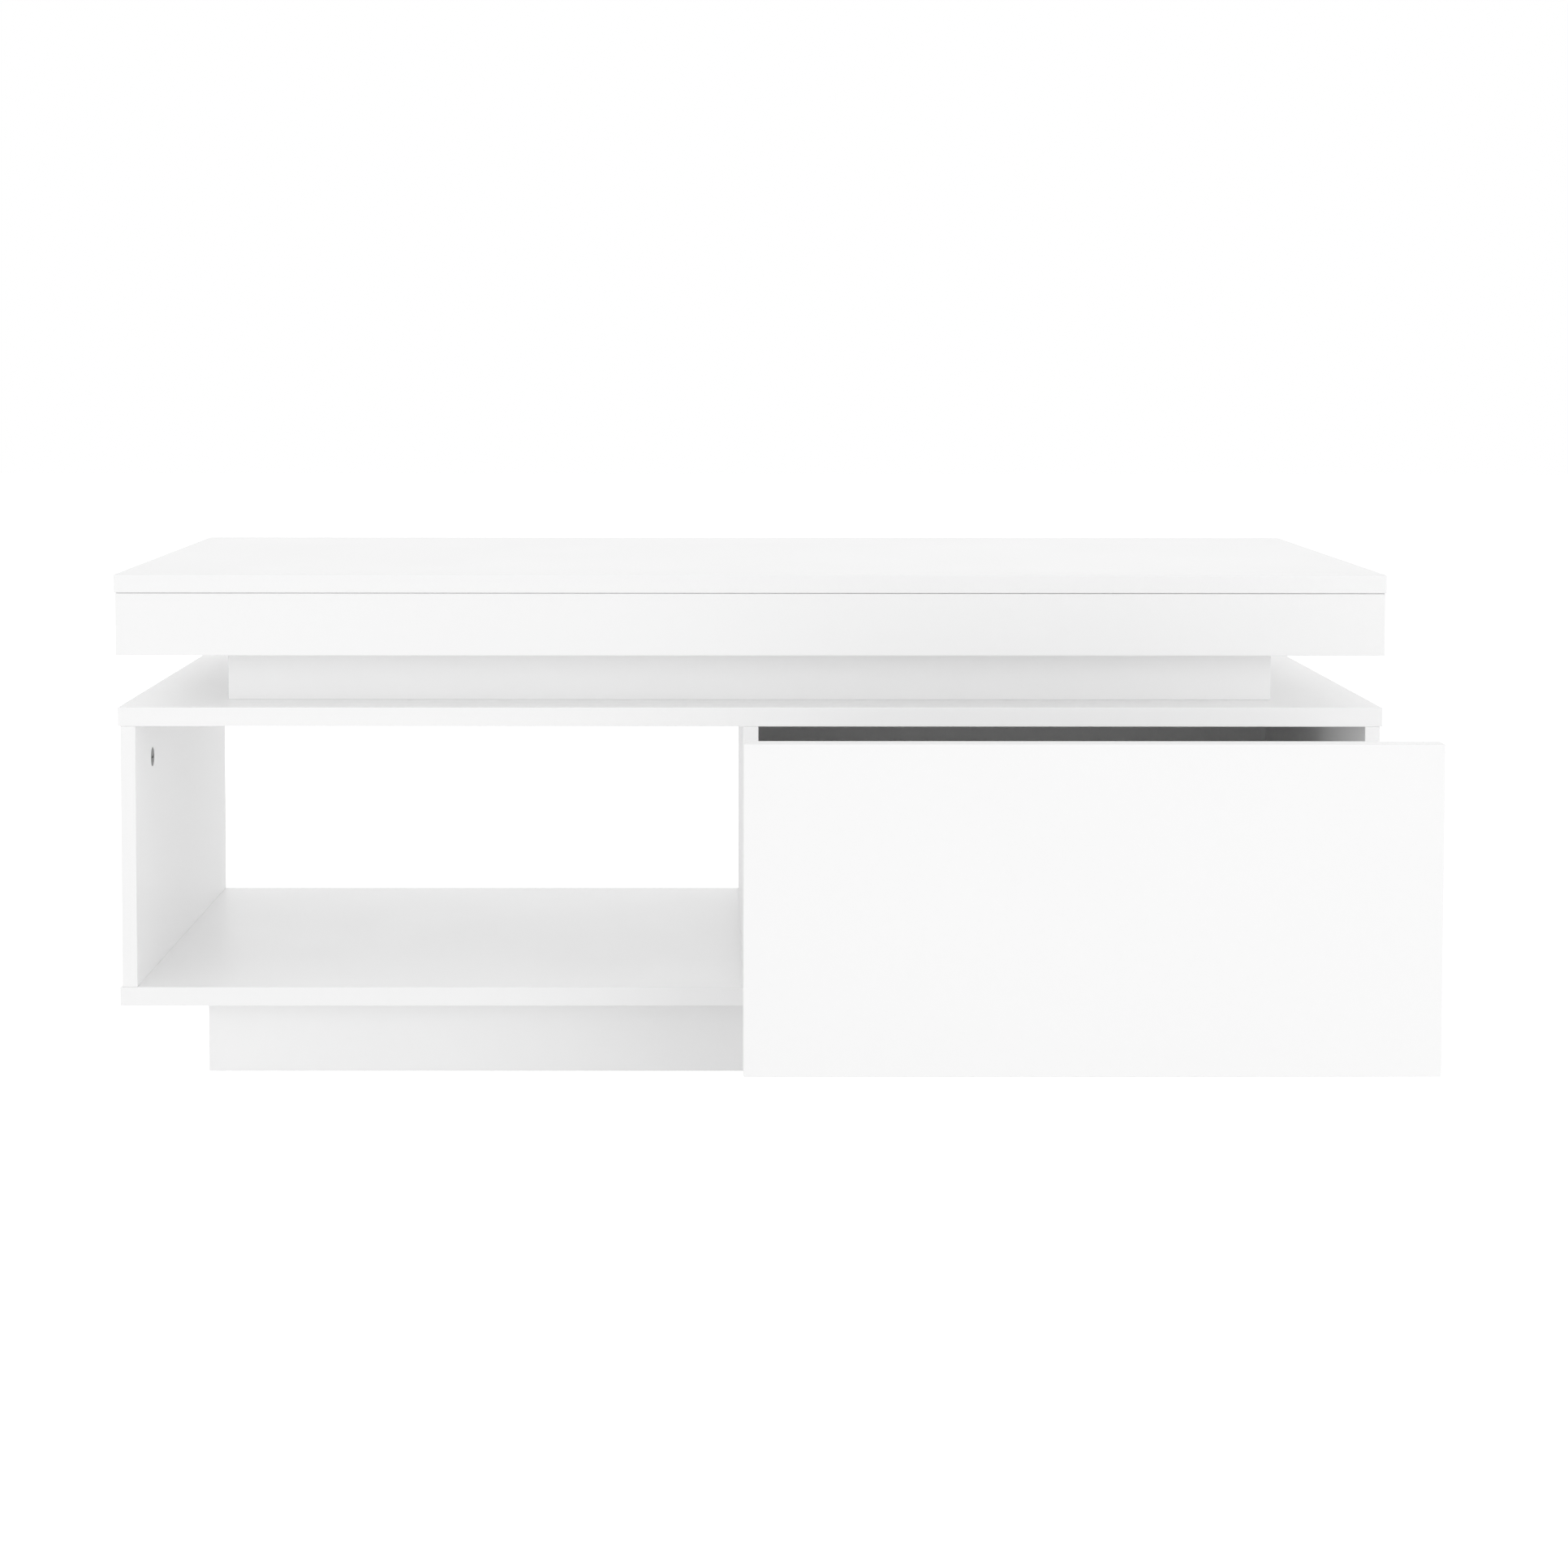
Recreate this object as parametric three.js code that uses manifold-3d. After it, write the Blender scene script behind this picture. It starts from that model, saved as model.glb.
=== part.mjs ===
// Lift top coffee table: a lid on a four-bar lift mechanism over a storage compartment,
// an open bay and a drawer bay below it, and a recessed plinth.
// Millimetres, +Z up, the front faces -Y, the drawer is on the +X side.
// Origin: on the floor, under the centre of the lid's outline.
import * as THREE from "three";
import { mergeVertices } from "three/addons/utils/BufferGeometryUtils.js";
import Module from "manifold-3d";

// ---------------------------------------------------------------- driving dimensions
const LID_W = 1000;
const LID_D = 500;
const LID_T = 14.7;
const LID_GAP = 0.3; // shadow line under the lid, where the lid rests on its bumpers

const BOARD = 15; // horizontal boards, plinth, neck and apron
const PANEL = 12; // upright panels of the cabinet and the drawer box

const PLINTH_W = 874;
const PLINTH_H = 65;
const NECK_W = 838;
const NECK_H = 41;
const RECESS_FRONT = -190; // front faces of plinth and neck
const RECESS_BACK = 172; // back faces of plinth and neck

const CABINET_W = 996; // middle and bottom boards
const CABINET_SIDE = 496; // outer faces of the side panels, from the centre
const CABINET_FRONT = -248;
const CABINET_BACK = 230;
const BAY_H = 207;

const APRON_W = 998;
const APRON_D = 498;
const APRON_H = 49;
const TRAY_T = 12;

const BUMPER_R = 4;
const BUMPER_T = 2;
const BUMPER_CLEAR = 0.3; // round and under a bumper in its blind hole
const BUMPER_INSET = 60; // from the apron's ends

const CAM_R = 7.5;
const CAM_DEPTH = 9.5;
const CAM_DROP = 34; // disc centre below the middle board
const CAM_INSET = 80; // disc centre from the panel's front and back edges
const CAM_CLEAR = 0.3; // between disc and pocket
const CAM_SLOT_W = 1.8;
const CAM_SLOT_L = 8.4;
const CAM_SLOT_DEPTH = 2.5;

const FRONT_T = 18;
const FRONT_LEFT = -8;
const FRONT_RIGHT = 496;
const FRONT_BOTTOM = 60;
const FRONT_TOP = 301.5;
const FRONT_GAP = 0.5; // behind the drawer front when it is shut
const DRAWER_OPEN = 213.5; // how far the drawer stands out

const BOX_L = 400;
const BOX_BOTTOM = 100;
const BOX_TOP = 235;
const BACK_DROP = 5; // the back board ends below the sides
const SHEET_T = 5; // drawer bottom
const SHEET_RISE = 10; // drawer bottom above the sides' lower edges
const GROOVE_DEPTH = 6;
const GROOVE_CLEAR = 0.15;

const SLIDE_T = 13; // space for a slide between bay wall and drawer box
const SLIDE_L = 400;
const SLIDE_SETBACK = 2;
const SLIDE_Z = 161.5;
const SLIDE_SHEET = 1.2;

const ARM_L = 230; // pivot to pivot
const ARM_REST = THREE.MathUtils.degToRad(10);
const ARM_W = 20;
const ARM_T = 3;
const PIVOT_Z = 332;
const FRONT_PIVOT_Y = -140;
const REAR_PIVOT_Y = -80;
const PLATE_X = 392; // inner face of the upright plates
const PLATE_T = 2;
const ARM_GAP = 0.9; // between a plate and an arm
const PIN_R = 4;
const PIN_HOLE_R = 4.06;
const PIN_HEAD_R = 7;
const PIN_HEAD_T = 2.4;
const PIN_GAP = 0.3; // under a pin's head
const OPEN_HOLE_R = 4.16; // front arm's upper hole, where the linkage is opened
const TUBE_R = 8;
const TUBE_WALL = 1.2;
const TUBE_SHARE = 0.84; // cross tube's place along the rear arm
const TUBE_HOLE_R = 8.15;
const SCREW_R = 2.6;
const STUD_R = 2.5;

const SPRING_R = 9;
const WIRE_R = 1.1;
const SPRING_TURNS = 4;
const SPRING_LEG = 33;
const SPRING_CLEAR = 0.1; // between the leg and the stud it bears on

// ---------------------------------------------------------------- derived levels
const CABINET_Z = PLINTH_H;
const BAY_Z = CABINET_Z + BOARD;
const MID_Z = BAY_Z + BAY_H;
const NECK_Z = MID_Z + BOARD;
const APRON_Z = NECK_Z + NECK_H;
const BUMPER_Z = APRON_Z + APRON_H;
const LID_Z = BUMPER_Z + LID_GAP;

// ---------------------------------------------------------------- materials
const material = (color, roughness, metalness) =>
  new THREE.MeshStandardMaterial({ color, roughness, metalness });
const whiteBoard = () => material(0xf6f6f6, 0.4, 0);
const zinc = () => material(0x8f9296, 0.45, 1);
const bracketSteel = () => material(0xb9bcc0, 0.35, 1);
const blackSteel = () => material(0x2c2d2f, 0.5, 0.6);
const springSteel = () => material(0x6d6f74, 0.4, 1);
const rubber = () => material(0xe4e4e2, 0.8, 0);

// ---------------------------------------------------------------- cutting and joining
const wasm = await Module();
wasm.setup();

const solidOf = (geometry) => {
  const bare = geometry.index ? geometry.toNonIndexed() : geometry.clone();
  bare.deleteAttribute("normal");
  bare.deleteAttribute("uv");
  const merged = mergeVertices(bare, 1e-4);
  const vertProperties = new Float32Array(merged.attributes.position.array);
  const triVerts = new Uint32Array(merged.index.array);
  return new wasm.Manifold(new wasm.Mesh({ numProp: 3, vertProperties, triVerts }));
};

const geometryOf = (solid) => {
  const { vertProperties, triVerts } = solid.getMesh();
  const geometry = new THREE.BufferGeometry();
  geometry.setAttribute("position", new THREE.BufferAttribute(new Float32Array(vertProperties), 3));
  geometry.setIndex(new THREE.BufferAttribute(new Uint32Array(triVerts), 1));
  return geometry;
};

const subtract = (geometry, ...tools) =>
  geometryOf(tools.reduce((left, tool) => left.subtract(solidOf(tool)), solidOf(geometry)));

const join = (...geometries) =>
  geometryOf(geometries.map(solidOf).reduce((a, b) => a.add(b)));

// ---------------------------------------------------------------- plain shapes
// a block from its low corner to its high corner
const block = (low, high) => {
  const [w, d, h] = high.map((value, i) => value - low[i]);
  const [x, y, z] = high.map((value, i) => (value + low[i]) / 2);
  return new THREE.BoxGeometry(w, d, h).translate(x, y, z);
};

// a round bar along X, from x0 to x1, through (y, z)
const barAlongX = (radius, x0, x1, [y, z], sides = 24) =>
  new THREE.CylinderGeometry(radius, radius, x1 - x0, sides)
    .rotateZ(Math.PI / 2)
    .translate((x0 + x1) / 2, y, z);

// a round bar along Z, from z0 to z1, through (x, y)
const barAlongZ = (radius, z0, z1, [x, y], sides = 16) =>
  new THREE.CylinderGeometry(radius, radius, z1 - z0, sides)
    .rotateX(Math.PI / 2)
    .translate(x, y, (z0 + z1) / 2);

// flat sheet: an outline in (y, z) with round holes, extruded along X from x0 to x1
const sheetAcrossX = (outline, holes, x0, x1) => {
  const shape = new THREE.Shape(outline.map(([y, z]) => new THREE.Vector2(y, z)));
  for (const { at: [y, z], radius } of holes)
    shape.holes.push(new THREE.Path().absarc(y, z, radius, 0, 2 * Math.PI, true));
  const options = { depth: x1 - x0, bevelEnabled: false, curveSegments: 12 };
  // the shape's own (u, v, w) become (y, z, x)
  const turn = new THREE.Matrix4().set(0, 0, 1, x0, 1, 0, 0, 0, 0, 1, 0, 0, 0, 0, 0, 1);
  return new THREE.ExtrudeGeometry(shape, options).applyMatrix4(turn);
};

const table = new THREE.Group();

const addPiece = (parent, name, geometry, look) => {
  const mesh = new THREE.Mesh(geometry, look);
  mesh.name = name;
  parent.add(mesh);
  return mesh;
};

// a rectangular board, as a centred block put in its place
const addBoard = (parent, name, low, high) => {
  const [w, d, h] = high.map((value, i) => value - low[i]);
  const board = addPiece(parent, name, new THREE.BoxGeometry(w, d, h), whiteBoard());
  board.position.set(...high.map((value, i) => (value + low[i]) / 2));
  return board;
};

// four boards on edge round a rectangle, the front and back ones running the full width
const addFrame = (parent, name, halfWidth, front, back, z0, z1) => {
  const inner = halfWidth - BOARD;
  addBoard(parent, `${name}_front`, [-halfWidth, front, z0], [halfWidth, front + BOARD, z1]);
  addBoard(parent, `${name}_back`, [-halfWidth, back - BOARD, z0], [halfWidth, back, z1]);
  addBoard(parent, `${name}_left`, [-halfWidth, front + BOARD, z0], [-inner, back - BOARD, z1]);
  addBoard(parent, `${name}_right`, [inner, front + BOARD, z0], [halfWidth, back - BOARD, z1]);
};

// ---------------------------------------------------------------- plinth
const recessInside = [RECESS_FRONT + BOARD, RECESS_BACK - BOARD];
addFrame(table, "plinth", PLINTH_W / 2, RECESS_FRONT, RECESS_BACK, 0, PLINTH_H);
// a rail under the partition, where the load comes down
addBoard(
  table,
  "plinth_middle_rail",
  [-BOARD / 2, recessInside[0], 0],
  [BOARD / 2, recessInside[1], PLINTH_H],
);

// ---------------------------------------------------------------- cabinet
const cabinetBoard = (name, x0, x1, z0, z1) =>
  addBoard(table, name, [x0, CABINET_FRONT, z0], [x1, CABINET_BACK, z1]);
const sideInner = CABINET_SIDE - PANEL;
cabinetBoard("bottom_board", -CABINET_W / 2, CABINET_W / 2, CABINET_Z, BAY_Z);
cabinetBoard("mid_board", -CABINET_W / 2, CABINET_W / 2, MID_Z, NECK_Z);
cabinetBoard("centre_partition", -PANEL / 2, PANEL / 2, BAY_Z, MID_Z);
// the drawer bay is closed behind, the open bay is not
addBoard(
  table,
  "drawer_bay_back_panel",
  [PANEL / 2, CABINET_BACK - PANEL, BAY_Z],
  [sideInner, CABINET_BACK, MID_Z],
);

// A side panel lies in a group of its own with its inner face at x = 0 and its body towards +X;
// the left one is the mirror image. Cam locks sit in blind pockets, flush with the inner face.
const camPlaces = [
  ["front", [CABINET_FRONT + CAM_INSET, MID_Z - CAM_DROP]],
  ["rear", [CABINET_BACK - CAM_INSET, MID_Z - CAM_DROP]],
];
const crossSlot = ([y, z]) => {
  const long = CAM_SLOT_L / 2;
  const thin = CAM_SLOT_W / 2;
  return join(
    block([-1, y - long, z - thin], [CAM_SLOT_DEPTH, y + long, z + thin]),
    block([-1, y - thin, z - long], [CAM_SLOT_DEPTH, y + thin, z + long]),
  );
};
const addSidePanel = (side, sign) => {
  const group = new THREE.Group();
  group.position.x = sign * sideInner;
  group.scale.x = sign;
  table.add(group);
  const pocketDepth = CAM_DEPTH + CAM_CLEAR;
  const pockets = camPlaces.map(([, at]) => barAlongX(CAM_R + CAM_CLEAR, -1, pocketDepth, at));
  const board = block([0, CABINET_FRONT, BAY_Z], [PANEL, CABINET_BACK, MID_Z]);
  addPiece(group, `${side}_side_panel`, subtract(board, ...pockets), whiteBoard());
  for (const [end, at] of camPlaces) {
    const disc = subtract(barAlongX(CAM_R, 0, CAM_DEPTH, at), crossSlot(at));
    addPiece(group, `cam_lock_${side}_${end}`, disc, zinc());
  }
};
addSidePanel("left", -1);
addSidePanel("right", 1);

// ---------------------------------------------------------------- neck and tray
const apronX = APRON_W / 2;
const apronY = APRON_D / 2;
const neckInnerX = NECK_W / 2 - BOARD;
addFrame(table, "neck", NECK_W / 2, RECESS_FRONT, RECESS_BACK, NECK_Z, APRON_Z);
// the tray is cut out over the neck, so the compartment reaches down to the middle board
const trayBoard = block(
  [BOARD - apronX, BOARD - apronY, APRON_Z],
  [apronX - BOARD, apronY - BOARD, APRON_Z + TRAY_T],
);
const trayCutOut = block(
  [-neckInnerX, recessInside[0], APRON_Z - 1],
  [neckInnerX, recessInside[1], APRON_Z + TRAY_T + 1],
);
addPiece(table, "tray_board", subtract(trayBoard, trayCutOut), whiteBoard());

// ---------------------------------------------------------------- apron, lid and bumpers
// rubber bumpers stand in blind holes in the top edges of the apron's front and back boards
const bumperX = apronX - BUMPER_INSET;
const bumperY = apronY - BOARD / 2;
const bumperFoot = BUMPER_Z + LID_GAP - BUMPER_T;
addFrame(table, "apron", apronX, -apronY, apronY, APRON_Z, BUMPER_Z);
for (const [end, signY] of [["front", -1], ["back", 1]]) {
  const board = table.getObjectByName(`apron_${end}`);
  const holes = [-bumperX, bumperX].map((x) =>
    barAlongZ(BUMPER_R + BUMPER_CLEAR, bumperFoot - BUMPER_CLEAR, BUMPER_Z + 1, [x, signY * bumperY], 24),
  );
  const { x, y, z } = board.position;
  board.geometry = subtract(board.geometry, ...holes.map((hole) => hole.translate(-x, -y, -z)));
}
for (const [side, signX] of [["left", -1], ["right", 1]])
  for (const [end, signY] of [["front", -1], ["rear", 1]]) {
    const at = [signX * bumperX, signY * bumperY];
    const bumper = barAlongZ(BUMPER_R, bumperFoot, bumperFoot + BUMPER_T, at, 24);
    addPiece(table, `lid_bumper_${side}_${end}`, bumper, rubber());
  }
addBoard(
  table,
  "lid_board",
  [-LID_W / 2, -LID_D / 2, LID_Z],
  [LID_W / 2, LID_D / 2, LID_Z + LID_T],
);

// ---------------------------------------------------------------- lift mechanism
// In side view, (y, z): base pivots at the front, upper pivots behind them when the lid is down.
const reachY = ARM_L * Math.cos(ARM_REST);
const reachZ = ARM_L * Math.sin(ARM_REST);
const frontBase = [FRONT_PIVOT_Y, PIVOT_Z];
const rearBase = [REAR_PIVOT_Y, PIVOT_Z];
const frontTop = [FRONT_PIVOT_Y + reachY, PIVOT_Z + reachZ];
const rearTop = [REAR_PIVOT_Y + reachY, PIVOT_Z + reachZ];
const tubeAt = [REAR_PIVOT_Y + TUBE_SHARE * reachY, PIVOT_Z + TUBE_SHARE * reachZ];

// across the table: rear arm inside the plates, front arm outside them
const plateX = [PLATE_X, PLATE_X + PLATE_T];
const rearArmX = [plateX[0] - ARM_GAP - ARM_T, plateX[0] - ARM_GAP];
const frontArmX = [plateX[1] + ARM_GAP, plateX[1] + ARM_GAP + ARM_T];

// a stud on the base bracket, which the spring's leg bears on
const studAt = [REAR_PIVOT_Y + 22, NECK_Z + 8];

// base bracket: sheet-steel angle, its foot screwed to the middle board
const baseBracket = () => {
  const front = FRONT_PIVOT_Y - 18;
  const back = REAR_PIVOT_Y + 34;
  const top = PIVOT_Z + 14;
  const outline = [
    [front, NECK_Z],
    [back, NECK_Z],
    [back, NECK_Z + 12],
    [REAR_PIVOT_Y + 13, PIVOT_Z + 10],
    [REAR_PIVOT_Y + 8, top],
    [FRONT_PIVOT_Y - 8, top],
    [FRONT_PIVOT_Y - 14, PIVOT_Z + 10],
    [front, NECK_Z + 14],
  ];
  const holes = [
    { at: frontBase, radius: PIN_HOLE_R },
    { at: rearBase, radius: PIN_HOLE_R },
    { at: [(FRONT_PIVOT_Y + REAR_PIVOT_Y) / 2, NECK_Z + 22], radius: 5 },
  ];
  const foot = block([plateX[0] - 24, front, NECK_Z], [plateX[0] + 0.5, back, NECK_Z + PLATE_T]);
  const stud = barAlongX(STUD_R, plateX[0] - 16, plateX[0] + 0.5, studAt, 12);
  const screws = [front + 13, (front + back) / 2, back - 12].map((y) =>
    barAlongZ(SCREW_R, NECK_Z - 1, NECK_Z + PLATE_T + 1, [plateX[0] - 14, y]),
  );
  return subtract(join(sheetAcrossX(outline, holes, ...plateX), foot, stud), ...screws);
};

// top bracket: an angle screwed under the lid, reaching down to the upper pivots
const topBracket = () => {
  const front = frontTop[0] - 18;
  const back = rearTop[0] + 14;
  const low = PIVOT_Z + reachZ - 12;
  const outline = [
    [front, LID_Z],
    [front, LID_Z - 6],
    [frontTop[0] - 9, low + 3],
    [frontTop[0], low],
    [rearTop[0], low],
    [rearTop[0] + 9, low + 3],
    [back, LID_Z - 6],
    [back, LID_Z],
  ];
  const holes = [
    { at: frontTop, radius: PIN_HOLE_R },
    { at: rearTop, radius: PIN_HOLE_R },
  ];
  const foot = block([plateX[0] - 26, front, LID_Z - PLATE_T], [plateX[0] + 0.5, back, LID_Z]);
  const screws = [front + 11, (front + back) / 2, back - 11].map((y) =>
    barAlongZ(SCREW_R, LID_Z - PLATE_T - 1, LID_Z + 1, [plateX[0] - 16, y]),
  );
  return subtract(join(sheetAcrossX(outline, holes, ...plateX), foot), ...screws);
};

// a flat bar with round ends, from pivot a to pivot b
const flatBar = (a, b, holes, x0, x1) => {
  const lean = Math.atan2(b[1] - a[1], b[0] - a[0]);
  const half = (centre, start) =>
    Array.from({ length: 11 }, (_, i) => {
      const angle = start + (Math.PI * i) / 10;
      return [
        centre[0] + (ARM_W / 2) * Math.cos(angle),
        centre[1] + (ARM_W / 2) * Math.sin(angle),
      ];
    });
  const outline = [...half(a, lean + Math.PI / 2), ...half(b, lean - Math.PI / 2)];
  return sheetAcrossX(outline, holes, x0, x1);
};

// a riveted pin from x0 to x1, with a head beyond each end that asks for one
const rivetPin = (at, x0, x1, headInside, headOutside) => {
  const parts = [barAlongX(PIN_R, x0, x1, at)];
  if (headInside) parts.push(barAlongX(PIN_HEAD_R, x0 - PIN_HEAD_T, x0 + 0.05, at));
  if (headOutside) parts.push(barAlongX(PIN_HEAD_R, x1 - 0.05, x1 + PIN_HEAD_T, at));
  return join(...parts);
};

// The spring's leg leaves the coil along a tangent that passes just over the stud.
const toStud = [studAt[0] - rearBase[0], studAt[1] - rearBase[1]];
const legOffset = SPRING_R + WIRE_R + STUD_R + SPRING_CLEAR;
const legLean = Math.atan2(toStud[1], toStud[0]) + Math.asin(legOffset / Math.hypot(...toStud));

// torsion spring: a helix round the rear base pin, leaving it along its tangent as a straight leg
class SpringPath extends THREE.Curve {
  constructor(x0, x1, [y, z]) {
    super();
    Object.assign(this, { x0, x1, y, z });
  }

  getPoint(t, target = new THREE.Vector3()) {
    const helixShare = 0.9;
    const along = Math.min(t / helixShare, 1);
    const angle = along * (SPRING_TURNS * 2 * Math.PI + legLean) - Math.PI / 2;
    const leg = Math.max(0, (t - helixShare) / (1 - helixShare)) * SPRING_LEG;
    return target.set(
      this.x0 + (this.x1 - this.x0) * along,
      this.y + SPRING_R * Math.cos(angle) - leg * Math.sin(angle),
      this.z + SPRING_R * Math.sin(angle) + leg * Math.cos(angle),
    );
  }
}
const torsionSpring = () => {
  const wire = new THREE.Shape().absarc(0, 0, WIRE_R, 0, 2 * Math.PI, false);
  const extrudePath = new SpringPath(rearArmX[0] - 14.5, rearArmX[0] - 2.2, rearBase);
  const options = { steps: 90, bevelEnabled: false, extrudePath, curveSegments: 4 };
  return new THREE.ExtrudeGeometry(wire, options);
};

// one side's mechanism is drawn on the right, the left one is its mirror image
const addLift = (side, sign) => {
  const group = new THREE.Group();
  group.scale.x = sign;
  table.add(group);
  const add = (name, geometry, look) => addPiece(group, `${name}_${side}`, geometry, look);
  const hole = (at, radius) => ({ at, radius });

  add("lift_base_bracket", baseBracket(), bracketSteel());
  add("lift_top_bracket", topBracket(), bracketSteel());
  const rearHoles = [hole(rearBase, PIN_HOLE_R), hole(rearTop, PIN_HOLE_R), hole(tubeAt, TUBE_HOLE_R)];
  add("rear_arm", flatBar(rearBase, rearTop, rearHoles, ...rearArmX), blackSteel());
  const frontHoles = [hole(frontBase, PIN_HOLE_R), hole(frontTop, OPEN_HOLE_R)];
  add("front_arm", flatBar(frontBase, frontTop, frontHoles, ...frontArmX), blackSteel());

  // The front base pin stays in the base bracket, the rear one turns with the rear arm and
  // carries the spring. Where the other arm lies across a pin's end, that end is flush.
  const outerEnd = frontArmX[1] + PIN_GAP;
  const springEnd = rearArmX[0] - 18;
  const pins = {
    base_pin_front: [frontBase, plateX[0] - PIN_GAP, outerEnd, true, true],
    base_pin_rear: [rearBase, springEnd, plateX[1], true, false],
    top_pin_front: [frontTop, plateX[0], outerEnd, false, true],
    top_pin_rear: [rearTop, rearArmX[0] - PIN_GAP, plateX[1] + PIN_GAP, true, true],
  };
  for (const [name, shape] of Object.entries(pins)) add(name, rivetPin(...shape), bracketSteel());
  add("lift_spring", torsionSpring(), springSteel());
};
addLift("left", -1);
addLift("right", 1);

// cross tube: it ties the two rear arms, so that both sides rise together
const tubeEnd = rearArmX[1];
const crossTube = subtract(
  barAlongX(TUBE_R, -tubeEnd, tubeEnd, tubeAt, 32),
  barAlongX(TUBE_R - TUBE_WALL, -tubeEnd - 1, tubeEnd + 1, tubeAt, 32),
);
addPiece(table, "sync_tube", crossTube, blackSteel());

// ---------------------------------------------------------------- drawer
// The drawer's group is drawn shut and then stands out by DRAWER_OPEN.
const drawer = new THREE.Group();
drawer.position.y = -DRAWER_OPEN;
table.add(drawer);
const frontBack = CABINET_FRONT - FRONT_GAP;
addBoard(
  drawer,
  "drawer_front",
  [FRONT_LEFT, frontBack - FRONT_T, FRONT_BOTTOM],
  [FRONT_RIGHT, frontBack, FRONT_TOP],
);

const bayX = [PANEL / 2, sideInner];
const boxX = [bayX[0] + SLIDE_T, bayX[1] - SLIDE_T];
const insideX = [boxX[0] + PANEL, boxX[1] - PANEL];
const boxBack = frontBack + BOX_L;
const sheetZ = [BOX_BOTTOM + SHEET_RISE, BOX_BOTTOM + SHEET_RISE + SHEET_T];
const groove = block(
  [insideX[0] - GROOVE_DEPTH, frontBack - 1, sheetZ[0] - GROOVE_CLEAR],
  [insideX[1] + GROOVE_DEPTH, boxBack + 1, sheetZ[1] + GROOVE_CLEAR],
);
const drawerSide = (x0, x1) => block([x0, frontBack, BOX_BOTTOM], [x1, boxBack, BOX_TOP]);
const leftSide = subtract(drawerSide(boxX[0], insideX[0]), groove);
const rightSide = subtract(drawerSide(insideX[1], boxX[1]), groove);
addPiece(drawer, "drawer_side_left", leftSide, whiteBoard());
addPiece(drawer, "drawer_side_right", rightSide, whiteBoard());
// the back board stands on the bottom sheet
addBoard(
  drawer,
  "drawer_back",
  [insideX[0], boxBack - PANEL, sheetZ[1] + GROOVE_CLEAR],
  [insideX[1], boxBack, BOX_TOP - BACK_DROP],
);
const sheetMargin = GROOVE_DEPTH - 2 * GROOVE_CLEAR;
addBoard(
  drawer,
  "drawer_bottom",
  [insideX[0] - sheetMargin, frontBack + 2 * GROOVE_CLEAR, sheetZ[0]],
  [insideX[1] + sheetMargin, boxBack - 1, sheetZ[1]],
);

// ---------------------------------------------------------------- drawer slides
// Three nested channels of sheet steel on each side: the outer one on the bay wall, the inner one
// on the drawer box, and the middle one travelling half as far as the drawer.
// A channel's section is drawn from its web towards its open side, with short lips.
const channel = (web, open, height, lip) => {
  const toOpen = Math.sign(open - web) * SLIDE_SHEET;
  const half = height / 2;
  const section = [
    [web, -half],
    [open, -half],
    [open, lip - half],
    [open - toOpen, lip - half],
    [open - toOpen, SLIDE_SHEET - half],
    [web + toOpen, SLIDE_SHEET - half],
    [web + toOpen, half - SLIDE_SHEET],
    [open - toOpen, half - SLIDE_SHEET],
    [open - toOpen, half - lip],
    [open, half - lip],
    [open, half],
    [web, half],
  ];
  const shape = new THREE.Shape(section.map(([x, z]) => new THREE.Vector2(x, z)));
  const options = { depth: SLIDE_L, bevelEnabled: false };
  return new THREE.ExtrudeGeometry(shape, options).rotateX(Math.PI / 2).translate(0, SLIDE_L, 0);
};
const addSlide = (side, wall, sign) => {
  const members = {
    outer: { section: [0, 11.5, 45, 4.2], travel: 0 },
    middle: { section: [3.6, 11.2, 34.6, 3.4], travel: DRAWER_OPEN / 2 },
    inner: { section: [SLIDE_T, 6.2, 24.6, 2.4], travel: DRAWER_OPEN },
  };
  for (const [name, { section, travel }] of Object.entries(members)) {
    const member = addPiece(table, `drawer_slide_${name}_${side}`, channel(...section), zinc());
    member.scale.x = sign;
    member.position.set(wall, CABINET_FRONT + SLIDE_SETBACK - travel, SLIDE_Z);
  }
};
addSlide("left", bayX[0], 1);
addSlide("right", bayX[1], -1);

export default table;
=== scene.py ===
# %% [markdown]
# # A lift top coffee table in white board
#
# The table is flat-pack furniture: particle boards faced with white melamine, with a white band
# glued round every cut edge, held together by cam locks, and a few steel fittings that do the moving.
# The frame that is loaded here already holds every board and fitting at its true size and place.
# This lesson gives each of them its real surface: rounded edges, bent sheet steel, turned pins,
# and finishes made of nodes.

# %% Load the frame
import math

import bmesh
import bpy
import numpy as np
from mathutils import Matrix, Vector
from mathutils.geometry import delaunay_2d_cdt


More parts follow.
